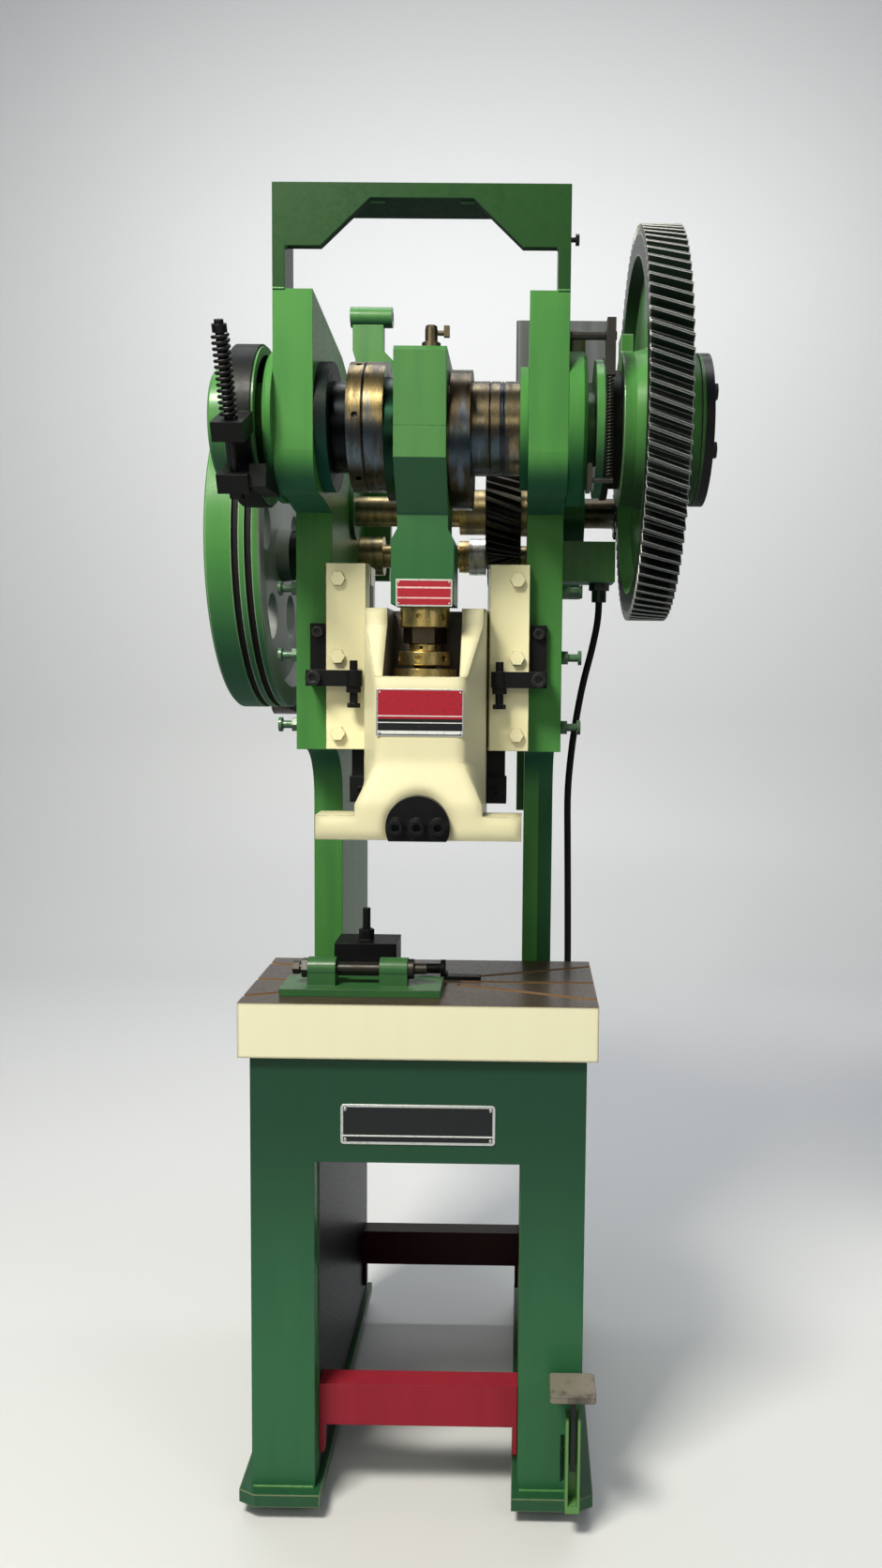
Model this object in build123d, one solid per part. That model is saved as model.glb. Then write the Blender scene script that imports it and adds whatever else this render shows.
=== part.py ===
from build123d import *
import math
import os

os.makedirs("parts", exist_ok=True)

# Driving dimensions, in millimetres. X runs to the right, Y away from the operator, Z up.
# The origin lies on the floor, in the middle of the four anchor holes.
anchor_pitch_x = 530.0
anchor_pitch_y = 440.0
anchor_hole_r = 11.0
anchor_setback = 120.0
front = -(anchor_setback + anchor_pitch_y / 2)

slide_gap = 0.2
seat_gap = 0.3
shaft_gap = 0.05

# Frame
pad_t = 26.0
pad_r = 32.0
foot_t = 22.0
foot_in = 163.0
foot_out = 303.0
foot_chamfer = 14.0
foot_front = front - 9.0
foot_z = pad_t + foot_t
plate_in = 172.0
plate_t = 54.0
cheek_t = 64.0
plate_front = front + 49.0
cheek_front = front + 190.0
cheek_low = 1307.0
cheek_high = 1725.0
throat_r = 100.0
head_top = 2050.0
head_low = 1738.0
head_corner_r = 62.0
plate_top_rear = 1850.0

panel_half = 282.0
panel_front = front + 12.0
window_half = 174.0
window_top = 624.0
lever_slot_low = 64.0
lever_slot_high = 150.0

table_half = 300.0
table_depth = 307.0
table_low = 805.0
table_t = 93.0
table_top = table_low + table_t
column_front = front + table_depth + 3.0
slot_w = 12.0
slot_depth = 14.0
slot_foot_w = 22.0
slot_foot_t = 9.0
slot_start = 62.0
slot_centre_y = front + 152.0
slot_ends = (front + 45.0, front + 152.0, front + 268.0)
table_hole_r = 35.0

crown_post_t = 20.0
crown_post_depth = 70.0
crown_bar_t = 23.0
crown_bar_depth = 86.0
crown_rise = 163.0
crown_top = head_top + crown_rise
crown_haunch_low = head_top + 66.0
crown_haunch_flat = 57.0
crown_haunch_reach = 160.0
crown_knob_r = 9.0
crown_knob_z = head_top + 90.0

rail_low = 138.0
rail_h = 74.0
rail_depth = 42.0
rail_tab_h = 50.0
rail_tab_w = 22.0
rail_tab_t = 8.0
front_rail_y = front + 47.0

rear_web_t = 16.0
rear_web_low = 1280.0
rear_web_high = 1530.0
stand_web_low = 400.0
stand_web_high = 790.0

# Guides and ram
bar_in = 109.0
bar_front = front + 160.0
bar_nose_depth = 30.0
bar_low = 1310.0
bar_high = 1635.0
bar_out = 178.0
way_w = 33.0
way_clamp_w = 36.0
way_t = 40.0
way_low = 1242.0
way_high = 1600.0
seat_ledge_t = 55.0
guide_bolt_x = 157.0
guide_bolt_zs = (1338.0, 1473.0, 1608.0)
guide_bolt_r = 13.0
gib_screw_zs = (1350.0, 1475.0, 1594.0)
gib_screw_y = bar_front + 55.0
gib_head_r = 13.0

ram_half = 104.0
ram_front_half = 72.0
ram_front = front + 15.0
ram_flare_y = front + 108.0
ram_back = bar_front + 78.0
ram_low = 1174.0
ram_flange_t = 40.0
ram_flange_half = 168.0
ram_flange_front = front - 10.0
ram_flange_depth = 60.0
ram_flange_back = ram_flange_front + ram_flange_depth
ram_wall_top = 1440.0
ram_top = 1555.0
ram_pocket_half = 63.0
ram_pocket_wall = 38.0
ram_pocket_back = ram_back - ram_pocket_wall
ram_shoulder_y = front + 96.0
ram_shoulder_z = 1528.0
ram_skirt_z = (1232.0, 1300.0)
ram_edge_r = 16.0
clamp_r = 52.0
clamp_t = 30.0
clamp_bolt_pitch = 34.0
clamp_bolt_r = 12.0
clamp_head_t = 14.0
clamp_bolt_z = 1198.0
shank_bore_r = 20.0
shank_depth = 70.0

# Crank, in the pose at the bottom of the stroke
crank_y = front + 105.0
crank_z = 1855.0
crank_throw = 20.0
pin_z = crank_z - crank_throw
main_r = 60.0
bush_wall = 10.0
tail_r = 50.0
drum_seat_r = 45.0
journal_r = 77.0
left_collar_r = 74.0
ring_r = 106.0
ring_bore_r = 90.0
ring_x = (-121.0, -61.0)
left_collar_x = -151.0
journal_end = 158.0
bush_r = 95.0
pin_r = 62.0
left_flange_r = 102.0
left_flange_t = 18.0
disc_r = 114.0
disc_x = (45.0, 79.0)
housing_r = 125.0
housing_t = 30.0
left_housing_t = 15.0
left_boss_r = 106.0
right_boss_r = 100.0
cheek_out = plate_in + cheek_t

# Rod
rod_half = 42.0
strap_top = 125.0
strap_front = 125.0
strap_back = 118.0
strap_slope_z = 1786.0
neck_high = 1704.0
neck_low = 1678.0
neck_depth = 84.0
rod_head_half = 52.0
rod_head_depth = 120.0
rod_low = 1559.0
screw_r = 20.0
screw_hex = 64.0
ball_r = 32.0
ball_drop = 8.0
ball_z = 1396.0
screw_neck_r = 19.5
nut_rings = ((1522.0, 1557.0, 42.0), (1482.0, 1495.0, 27.0), (1458.0, 1482.0, 44.5))
cup_r = 54.5
cup_bore_r = 44.0
cup_high = 1452.6
cup_low = 1424.0
tommy_r = 5.5

# Gears: teeth, module across the face, and the face's ends along X
wheel_teeth = 92
pinion_teeth = 13
wheel_module = 6.75
mid_teeth = 27
fly_teeth = 18
mid_module = 6.0
helix_deg = 18.5
wheel_x = (343.0, 406.0)
mid_x = (92.0, 160.0)
tooth_share = 0.41
wheel_rim_r = 270.0
wheel_web_t = 20.0
wheel_bush_wall = 8.0
hub_in_r = 125.0
hub_out_r = 121.0
hub_x = (323.0, 446.0)
end_disc_r = 124.0
end_disc_t = 20.0
mid_drop_deg = 15.2
fly_drop_deg = 34.7
centre_1 = wheel_module * (wheel_teeth + pinion_teeth) / 2
centre_2 = mid_module * (mid_teeth + fly_teeth) / 2
mid_y = crank_y + centre_1 * math.cos(math.radians(mid_drop_deg))
mid_z = crank_z - centre_1 * math.sin(math.radians(mid_drop_deg))
fly_y = mid_y + centre_2 * math.cos(math.radians(fly_drop_deg))
fly_z = mid_z - centre_2 * math.sin(math.radians(fly_drop_deg))
mid_shaft_r = 29.0
fly_shaft_r = 24.0
small_bush_wall = 8.0
rear_room = 112.0
plate_rear = fly_y + rear_room
rear_rail_y = plate_rear - 68.0
shaft_plate_t = 48.0
shaft_plate_rs = (46.0, 85.0)

flywheel_x = (-416.0, -314.0)
drum_cover_r = 95.0
flywheel_room = 43.0
flywheel_r = fly_y - crank_y - drum_cover_r - flywheel_room
flywheel_rim_t = 62.0
flywheel_web_t = 26.0
flywheel_hub_r = 47.0
flywheel_hub_reach = 40.0
flywheel_hole_r = 46.0
flywheel_hole_ring = 155.0
flywheel_holes = 5
groove_w = 13.0
groove_depth = 17.0
groove_xs = (-359.0, -335.0)
belt_w = 12.4
belt_t = 10.0
motor_y = fly_y + 0.95 * flywheel_r
motor_z = fly_z - 0.92 * flywheel_r
motor_r = 95.0
motor_x = (-290.0, -20.0)
motor_shaft_r = 14.0
pulley_r = 52.0
shelf_t = 16.0
gusset_h = 150.0
motor_foot_inset = 40.0

# Brake, on the left end of the crankshaft
drum_r = 129.0
drum_x = (flywheel_x[1] + 2.0, -cheek_out - 27.0)
drum_cover_t = 33.0
band_t = 3.0
band_x = (drum_x[0] + 4.0, drum_x[1] - 4.0)
brake_gap_deg = 24.0
brake_reach = 45.0
brake_x = (drum_x[0] + 1.0, drum_x[1] + 1.0)
brake_block_depth = 46.0
brake_block_inner = 60.0
upper_block = (22.0, 52.0)
lower_block = (-58.0, -28.0)
brake_bolt_r = 7.0
brake_bolt_top = 196.0
spring_wire = 2.6
brake_spring_r = 11.5
brake_spring_turns = 14

# Clutch side
disc_green = (281.0, 294.0, 112.0)
disc_black = (294.0, 304.0, 115.0)
collar = (304.0, 322.7, 96.0)
key_r = 9.0
trip_y = front - 19.0
trip_x = (293.0, 307.0)
trip_low = 1914.0
trip_high = 2002.0
trip_pin_r = 7.0
trip_pin_y = front + 14.0
trip_pin_z = 1985.0
trip_anchor_z = 1752.0
trip_spring_r = 5.0
trip_spring_turns = 30

cable_line_y = front + table_depth + 53.0
box_y = (cable_line_y - 30.0, cable_line_y + 60.0)
box_x = (cheek_out, 339.0)
box_z = (1620.0, 1695.0)
gland_x = 312.0
gland_y = cable_line_y + 15.0
cable_r = 6.5

# Treadle
treadle_x = (255.0, 276.0)
treadle_pivot_y = front + 430.0
treadle_z = 106.0
treadle_bar_h = 24.0
post_y = (front - 45.0, front - 15.0)
post_low = 50.0
post_high = 214.0
pedal_y = (front - 62.0, front + 8.0)
pedal_x = (226.0, 302.0)
pedal_top = 263.0
pedal_t = 10.0

# Stops beside the ram, with their screws
stop_x = 127.0
stop_y = front + 141.0
stop_plate = (181.0, 209.0)
stop_plate_t = 14.0
stop_plate_top = 1531.0
stop_arm_z = (1421.0, 1449.0)
stop_arm_half = 11.0
stop_eye_r = 15.0
stop_screw_r = 7.0
stop_screw_z = (1384.0, 1466.0)
stop_head_t = 8.0
stop_nut_w = 22.0

# Motor, rear arms and starter box
motor_wall = 20.0
motor_end_t = 14.0
motor_bush_wall = 8.0
motor_foot_half = 80.0
arm_t = 26.0
arm_y = plate_rear - 48.0
arm_rise = 341.0
arm_tube_z = plate_top_rear + arm_rise
arm_tube_x = (-204.0, -116.0)
arm_tube_r = 21.0
starter_x = (145.0, 345.0)
starter_z = (plate_top_rear + 223.0, plate_top_rear + 354.0)
starter_depth = 90.0
starter_arm_z = (plate_top_rear - 150.0, plate_top_rear + 340.0)
starter_arm_t = 20.0

# Tooling on the table
base_x = (-239.0, 34.0)
base_y = (front + 42.0, front + 134.0)
base_t = 13.0
lug_xs = ((-195.0, -147.0), (-72.0, -24.0))
lug_r = 19.0
lug_y = front + 82.0
lug_z = table_top + 40.0
cross_bolt_r = 9.0
cross_bolt_x = (-222.0, 8.0)
clamp_block_x = (-160.0, -50.0)
clamp_block_y = (front + 136.0, front + 212.0)
clamp_block_zs = (table_top, table_top + 36.0, table_top + 70.0)
stud_r = 7.0
stud_x = -108.0
side_bar_r = 9.0
side_bar_y = front + 172.0

low = (Align.CENTER, Align.CENTER, Align.MIN)


def facing_x(x, y=0.0, z=0.0):
    """Plane at x that is drawn in Y and Z and looks along +X."""
    return Plane(origin=(x, y, z), x_dir=(0, 1, 0), z_dir=(1, 0, 0))


def facing_front(y, x=0.0, z=0.0):
    """Plane at y that is drawn in X and Z and looks towards the operator."""
    return Plane(origin=(x, y, z), x_dir=(1, 0, 0), z_dir=(0, -1, 0))


def rod_x(x0, x1, radius, y, z):
    """Solid cylinder along X."""
    return facing_x(x0, y, z) * Cylinder(radius, x1 - x0, align=low)


def tube_x(x0, x1, outer, inner, y, z):
    """Hollow cylinder along X."""
    return rod_x(x0, x1, outer, y, z) - rod_x(x0, x1, inner, y, z)


def rod_y(y0, y1, radius, x, z):
    """Solid cylinder along Y."""
    return facing_front(y1, x, z) * Cylinder(radius, y1 - y0, align=low)


def rod_z(z0, z1, radius, x, y):
    """Solid cylinder along Z."""
    return Pos(x, y, z0) * Cylinder(radius, z1 - z0, align=low)


def block(x0, x1, y0, y1, z0, z1):
    """Box between its six faces."""
    centre = Pos((x0 + x1) / 2, (y0 + y1) / 2, (z0 + z1) / 2)
    return centre * Box(x1 - x0, y1 - y0, z1 - z0)


def slab_x(points, x0, x1):
    """Plate across X with an outline given in Y and Z."""
    outline = make_face(Polyline(*points, close=True))
    return extrude(facing_x(x0) * outline, amount=x1 - x0)


def slab_y(points, y0, y1):
    """Plate across Y with an outline given in X and Z."""
    outline = make_face(Polyline(*points, close=True))
    return extrude(facing_front(y1) * outline, amount=y1 - y0)


def hex_y(y0, y1, across, x, z):
    """Hexagonal bar along Y."""
    outline = RegularPolygon(across / 2, 6, major_radius=False)
    return extrude(facing_front(y1, x, z) * outline, amount=y1 - y0)


def hex_x(x0, x1, across, y, z):
    """Hexagonal bar along X."""
    outline = RegularPolygon(across / 2, 6, major_radius=False)
    return extrude(facing_x(x0, y, z) * outline, amount=x1 - x0)


def hex_z(z0, z1, across, x, y):
    """Hexagonal bar along Z."""
    outline = RegularPolygon(across / 2, 6, major_radius=False)
    return extrude(Pos(x, y, z0) * outline, amount=z1 - z0)


def socket_head(y_face, x, z, head_r, head_t):
    """Head of a cap screw that stands on y_face, with its hexagon socket."""
    head = rod_y(y_face - head_t, y_face, head_r, x, z)
    return head - hex_y(y_face - head_t, y_face - head_t * 0.4, head_r, x, z)


def turned_x(y, z, points):
    """Solid of revolution about a line along X, from (x, radius) points."""
    outline = make_face(Polyline(*points, close=True))
    plane = Plane(origin=(0, y, z), x_dir=(1, 0, 0), z_dir=(0, -1, 0))
    axis = Axis((0, y, z), (1, 0, 0))
    return revolve(plane * outline, axis=axis)


def both_sides(solid):
    """The piece and its mirror image on the other side of the machine."""
    return [solid, mirror(solid, about=Plane.YZ)]


def group(name, solids):
    """Write one node that holds several separate solids."""
    export_step(Compound(children=[s for s in flatten(solids)]), f"parts/{name}.step")


def flatten(items):
    """Solids out of nested lists and compounds."""
    found = []
    for item in items:
        if isinstance(item, (list, tuple)):
            found += flatten(item)
        else:
            found += item.solids()
    return found


def save(name, solid):
    """Write one node that holds one solid."""
    solids = solid.solids()
    export_step(solids[0] if len(solids) == 1 else solid, f"parts/{name}.step")


# Side plates: column, guide cheek and head are welded into one plate on each side.
def side_plate():
    """Right side plate, with its throat and the bearing bores."""
    tall = [
        (plate_front, foot_z),
        (plate_front, table_low),
        (column_front, table_low),
        (column_front, cheek_low),
        (column_front, cheek_high),
        (plate_rear, cheek_high),
        (plate_rear, foot_z),
    ]
    column = slab_x(tall, plate_in, plate_in + plate_t)
    upper = [
        (cheek_front, cheek_low),
        (cheek_front, cheek_high),
        (front + 96.0, head_low),
        (front, head_low),
        (front, head_top),
        (front + 306.0, head_top - 28.0),
        (front + 413.0, head_top - 58.0),
        (plate_rear - 16.0, plate_top_rear),
        (plate_rear, plate_top_rear - 60.0),
        (plate_rear, cheek_low),
    ]
    outline = make_face(Polyline(*upper, close=True))
    corner = outline.vertices().filter_by(lambda v: abs(v.X - front) < 0.1 and abs(v.Y - head_low) < 0.1)
    outline = fillet(corner, head_corner_r)
    cheek = extrude(facing_x(plate_in) * outline, amount=cheek_t)
    throat = block(plate_in, plate_in + plate_t, column_front - throat_r, column_front,
                   cheek_low - throat_r, cheek_low)
    throat -= rod_x(plate_in, plate_in + plate_t, throat_r, column_front - throat_r, cheek_low - throat_r)
    plate = column + cheek + throat
    plate -= rod_x(plate_in, cheek_out, main_r + bush_wall, crank_y, crank_z)
    plate -= rod_x(plate_in, cheek_out, mid_shaft_r + small_bush_wall, mid_y, mid_z)
    plate -= rod_x(plate_in, cheek_out, fly_shaft_r + small_bush_wall, fly_y, fly_z)
    return plate


right_plate = side_plate()
left_plate = mirror(right_plate, about=Plane.YZ)
save("side_plate_right", right_plate)
save("side_plate_left", left_plate)


# Feet: one long plate under each side plate and stand leg, on rubber pads.
def foot_plate():
    """Right foot plate with chamfered outer corners and its anchor holes."""
    plate = block(foot_in, foot_out, foot_front, plate_rear + 20.0, pad_t, foot_z)
    outer = plate.edges().filter_by(Axis.Z).sort_by(Axis.X)[-2:]
    plate = chamfer(outer, foot_chamfer, foot_chamfer * 2)
    for y in (-anchor_pitch_y / 2, anchor_pitch_y / 2):
        plate -= rod_z(pad_t, foot_z, anchor_hole_r, anchor_pitch_x / 2, y)
    return plate


group("foot_plates", both_sides(foot_plate()))
pads = []
for y in (-anchor_pitch_y / 2, anchor_pitch_y / 2):
    ring = rod_z(0, pad_t, pad_r, anchor_pitch_x / 2, y)
    ring -= rod_z(0, pad_t, anchor_hole_r, anchor_pitch_x / 2, y)
    pads += both_sides(ring)
group("rubber_pads", pads)

# Stand panel: a thick front plate with an open window between two legs.
panel = block(-panel_half, panel_half, panel_front, plate_front, foot_z, table_low)
panel -= block(-window_half, window_half, panel_front, plate_front, foot_z, window_top)
panel -= block(treadle_x[0] - 8, panel_half, panel_front, plate_front, lever_slot_low, lever_slot_high)
save("stand_panel", panel)

# Bolster table with six radial T-slots that meet round the die hole.
table = block(-table_half, table_half, front, front + table_depth, table_low, table_top)
for side in (-1, 1):
    for end_y in slot_ends:
        run_x = side * table_half
        run_y = end_y - slot_centre_y
        angle = math.degrees(math.atan2(run_y, run_x))
        length = math.hypot(run_x, run_y) + slot_foot_w
        place = Pos(0, slot_centre_y, table_top) * Rot(0, 0, angle)
        neck = Pos((slot_start + length) / 2, 0, -slot_depth / 2)
        foot = Pos((slot_start + length) / 2, 0, -slot_depth - slot_foot_t / 2)
        table -= place * neck * Box(length - slot_start, slot_w, slot_depth)
        table -= place * foot * Box(length - slot_start, slot_foot_w, slot_foot_t)
table -= rod_z(table_low, table_top, table_hole_r, 0, slot_centre_y)
save("bolster_table", table)


# Red cross rails in the stand, each with two bent tabs under its ends.
def cross_rail(y0):
    """Flat bar between the side plates, with its tabs."""
    bar = block(-plate_in, plate_in, y0, y0 + rail_depth, rail_low, rail_low + rail_h)
    tab = block(plate_in - rail_tab_t, plate_in, y0, y0 + rail_tab_w, rail_low - rail_tab_h, rail_low)
    return bar + tab + mirror(tab, about=Plane.YZ)


group("cross_rails", [cross_rail(front_rail_y), cross_rail(rear_rail_y)])

# Webs at the rear tie the plates together and carry the motor shelf.
web_y = plate_rear - rear_web_t
upper_web = block(-plate_in, plate_in, web_y, plate_rear, rear_web_low, rear_web_high)
stand_web = block(-plate_in, plate_in, web_y, plate_rear, stand_web_low, stand_web_high)
shelf_z = motor_z - motor_r - 6.0
shelf = block(motor_x[0] - 6, plate_in, plate_rear, motor_y + motor_r, shelf_z - shelf_t, shelf_z)
gusset = [(plate_rear, shelf_z - shelf_t), (motor_y, shelf_z - shelf_t), (plate_rear, shelf_z - gusset_h)]
shelf += slab_x(gusset, -plate_in - shelf_t, -plate_in)
shelf += slab_x(gusset, plate_in - shelf_t, plate_in)
group("rear_webs", [upper_web, stand_web, shelf])

# Crown: posts on the heads, a flat bar over them and a haunch in each corner.
post = block(cheek_out - crown_post_t, cheek_out, front, front + crown_post_depth, head_top, crown_top)
bar = block(-cheek_out, cheek_out, front, front + crown_bar_depth, crown_top - crown_bar_t, crown_top)
haunch_points = [
    (cheek_out, crown_top),
    (crown_haunch_flat, crown_top),
    (crown_haunch_reach, crown_haunch_low),
    (cheek_out, crown_haunch_low),
]
haunch = slab_y(haunch_points, front, front + 16.0)
crown = bar
for piece in both_sides(post) + both_sides(haunch):
    crown += piece
save("crown_portal", crown)
knob = rod_x(cheek_out, cheek_out + 8, 4, front + 35, crown_knob_z)
knob += rod_x(cheek_out + 8, cheek_out + 14, crown_knob_r, front + 35, crown_knob_z)


# Guides: a welded seat behind the way, and a bar in front that holds the way in.
way_front = bar_front + bar_nose_depth + slide_gap
way_back = way_front + way_t
way_out = ram_half + way_w


def guide_seat():
    """Right seat: a spacer beside the way and a ledge behind it."""
    spacer = block(way_out + slide_gap, plate_in, bar_front + bar_nose_depth, way_back + slide_gap,
                   bar_low, bar_high)
    ledge = block(ram_half + 4, plate_in, way_back + slide_gap, way_back + slide_gap + seat_ledge_t,
                  bar_low, bar_high)
    return spacer + ledge


def guide_bar():
    """Right bar, with a slanted nose beside the ram and its bolt holes."""
    points = [
        (bar_in, bar_front),
        (bar_out, bar_front),
        (bar_out, bar_front + bar_nose_depth),
        (bar_in - 4, bar_front + bar_nose_depth),
        (bar_in - 4, bar_front + bar_nose_depth - 6),
    ]
    outline = make_face(Polyline(*points, close=True))
    bar = extrude(Pos(0, 0, bar_low) * outline, amount=bar_high - bar_low)
    for z in guide_bolt_zs:
        bar -= rod_y(bar_front, bar_front + bar_nose_depth, 6.1, guide_bolt_x, z)
    return bar


group("guide_seats", both_sides(guide_seat()))
bolts = []
frame_screws = [knob]
for z in guide_bolt_zs:
    head = hex_y(bar_front - 9, bar_front, guide_bolt_r * 1.8, guide_bolt_x, z)
    bolt = head + rod_y(bar_front, bar_front + bar_nose_depth, 6, guide_bolt_x, z)
    bolts += both_sides(bolt)
group("guide_bars", both_sides(guide_bar()) + bolts)
for z in gib_screw_zs:
    nut = hex_x(cheek_out, cheek_out + 12, gib_head_r * 1.8, gib_screw_y, z)
    neck = rod_x(cheek_out + 12, cheek_out + 30, 7, gib_screw_y, z)
    head = rod_x(cheek_out + 30, cheek_out + 36, gib_head_r, gib_screw_y, z)
    frame_screws += both_sides(nut + neck + head)


# Knock-out brackets hang on the cheeks and hold a stop screw in front of each bar.
def knockout_bracket():
    """Right bracket: an upright plate with an arm that ends in a threaded eye."""
    face = cheek_front - stop_plate_t
    arm_y0 = stop_y - stop_arm_half
    upright = block(*stop_plate, face, cheek_front, stop_arm_z[0], stop_plate_top)
    arm = block(stop_x, stop_plate[1], arm_y0, stop_y + stop_arm_half, *stop_arm_z)
    link = block(*stop_plate, arm_y0, face, *stop_arm_z)
    eye = rod_z(*stop_arm_z, stop_eye_r, stop_x, stop_y)
    return upright + arm + link + eye - rod_z(*stop_arm_z, stop_screw_r, stop_x, stop_y)


def knockout_screw():
    """Right stop screw with its lock nut and square head."""
    stem = rod_z(*stop_screw_z, stop_screw_r, stop_x, stop_y)
    nut = hex_z(stop_arm_z[0] - 11, stop_arm_z[0], stop_nut_w, stop_x, stop_y)
    head = hex_z(stop_screw_z[0], stop_screw_z[0] + stop_head_t, stop_nut_w - 2, stop_x, stop_y)
    return stem + nut + head


group("knockout_brackets", both_sides(knockout_bracket()) + both_sides(knockout_screw()))
stop_bolt_x = sum(stop_plate) / 2
frame_screws += both_sides(socket_head(cheek_front - stop_plate_t, stop_bolt_x, stop_plate_top - 15, 10, 9))
frame_screws += both_sides(socket_head(stop_y - stop_arm_half, stop_bolt_x, sum(stop_arm_z) / 2, 13, 10))


# Crank bearings: a housing outside each cheek and a bronze bush through both.
def bearing_housing(thickness):
    """Right housing ring, chamfered at its outer rim."""
    outer = cheek_out + thickness
    points = [
        (cheek_out, main_r + bush_wall),
        (cheek_out, housing_r),
        (outer - 6, housing_r),
        (outer, housing_r - 6),
        (outer, main_r + bush_wall),
    ]
    return turned_x(crank_y, crank_z, points)


crank_bushes = []
for x0, x1 in ((plate_in, cheek_out + housing_t), (-cheek_out - left_housing_t, -plate_in)):
    crank_bushes.append(tube_x(x0, x1, main_r + bush_wall, main_r + shaft_gap, crank_y, crank_z))
left_boss = tube_x(-plate_in, left_collar_x - seat_gap, left_boss_r, left_collar_r + 1, crank_y, crank_z)
right_boss = tube_x(journal_end + seat_gap, plate_in, right_boss_r, journal_r + 1, crank_y, crank_z)
group("crank_bushes", crank_bushes)
housings = [bearing_housing(housing_t), mirror(bearing_housing(left_housing_t), about=Plane.YZ)]
group("bearing_housings", housings + [left_boss, right_boss])
plug_z = crank_z + housing_r
plug = hex_z(plug_z - 3, plug_z + 33, 26, cheek_out + housing_t / 2, crank_y)
plug -= rod_x(cheek_out, cheek_out + housing_t, housing_r, crank_y, crank_z)
group("frame_screws", frame_screws + [plug])

# Crankshaft: main shaft, webs and the offset pin are one forging.
crank = rod_x(drum_x[0], -cheek_out - left_housing_t, drum_seat_r, crank_y, crank_z)
crank += rod_x(-cheek_out - left_housing_t, left_collar_x, main_r, crank_y, crank_z)
crank += rod_x(left_collar_x, ring_x[0], left_collar_r, crank_y, crank_z)
crank += rod_x(ring_x[0], ring_x[1], ring_bore_r - shaft_gap, crank_y, crank_z)
crank += rod_x(ring_x[1], disc_x[1], pin_r, crank_y, pin_z)
crank += rod_x(disc_x[1], cheek_out + housing_t, main_r, crank_y, crank_z)
crank += rod_x(cheek_out + housing_t, hub_x[1], tail_r, crank_y, crank_z)
key_y = crank_y - (tail_r - key_r - 1.0)
crank -= rod_x(disc_black[0], hub_x[1], key_r + shaft_gap, key_y, crank_z)
save("crankshaft", crank)
rolling_key = rod_x(disc_black[0], hub_x[1], key_r, key_y, crank_z)
ring = tube_x(ring_x[0], ring_x[1], ring_r, ring_bore_r, crank_y, crank_z)
ring -= tube_x(-96, -93, ring_r, ring_r - 3, crank_y, crank_z)
for angle in range(-150, 180, 60):
    hole = rod_z(ring_r - 12, ring_r, 5, -106 + 22 * (angle % 120 == 0), 0)
    ring -= Pos(0, crank_y, crank_z) * Rot(angle, 0, 0) * hole
journal = tube_x(disc_x[1] + seat_gap, journal_end, journal_r, main_r + shaft_gap, crank_y, crank_z)
for x in (108, 126, 131):
    journal -= tube_x(x, x + 2.5, journal_r, journal_r - 2, crank_y, crank_z)
group("journal_rings", [ring, journal])

# Eccentric bush on the crank pin, with a flange on each side of the strap.
bush = tube_x(ring_x[1], disc_x[1], bush_r - 0.3, pin_r + shaft_gap, crank_y, pin_z)
bush += tube_x(ring_x[1], ring_x[1] + left_flange_t, left_flange_r, pin_r + shaft_gap, crank_y, pin_z)
bush += tube_x(disc_x[0], disc_x[1], disc_r, pin_r + shaft_gap, crank_y, pin_z)
save("eccentric_bush", bush)

# Brake drum, dished towards the machine, with a round cover over the left end of the crankshaft.
drum_points = [
    (drum_x[0], 0),
    (drum_x[0] - drum_cover_t, 0),
    (drum_x[0] - drum_cover_t, drum_cover_r - 4),
    (drum_x[0] - drum_cover_t + 4, drum_cover_r),
    (drum_x[0], drum_cover_r),
    (drum_x[0], drum_r),
    (drum_x[1], drum_r),
    (drum_x[1], drum_r - 14),
    (drum_x[0] + 16, drum_r - 14),
    (drum_x[0] + 16, drum_seat_r + 26),
    (drum_x[1], drum_seat_r + 26),
    (drum_x[1], drum_seat_r),
    (drum_x[0], drum_seat_r),
]
save("brake_drum", turned_x(crank_y, crank_z, drum_points))


# Brake band: a steel strip round the drum, open at the front where the bolt pulls it together.
def brake_place():
    """Frame at the band's gap: X along the machine, Y towards the shaft, Z up along the bolt."""
    angle = math.radians(brake_gap_deg)
    reach = drum_r + seat_gap + band_t + brake_reach
    origin = (0, crank_y - reach * math.cos(angle), crank_z - reach * math.sin(angle))
    up = (0, -math.sin(angle), math.cos(angle))
    return Plane(origin=origin, x_dir=(1, 0, 0), z_dir=up)


gap_place = brake_place()
band = tube_x(band_x[0], band_x[1], drum_r + seat_gap + band_t, drum_r + seat_gap, crank_y, crank_z)
band -= gap_place * Box(200, 120, 40)
brake_mid_depth = (brake_block_inner - brake_block_depth / 2) / 2
brake_depth = brake_block_inner + brake_block_depth / 2
brake_mid_x = (brake_x[0] + brake_x[1]) / 2
brake_w = brake_x[1] - brake_x[0]


def brake_block(span):
    """Block square on the bolt, hollowed where it lies on the band."""
    middle = Pos(brake_mid_x, brake_mid_depth, (span[0] + span[1]) / 2)
    body = gap_place * middle * Box(brake_w, brake_depth, span[1] - span[0])
    body -= rod_x(brake_x[0], brake_x[1], drum_r + seat_gap + band_t, crank_y, crank_z)
    hole = Pos(brake_mid_x, 0, span[0]) * Cylinder(brake_bolt_r + 0.2, span[1] - span[0], align=low)
    return body - gap_place * hole


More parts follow.
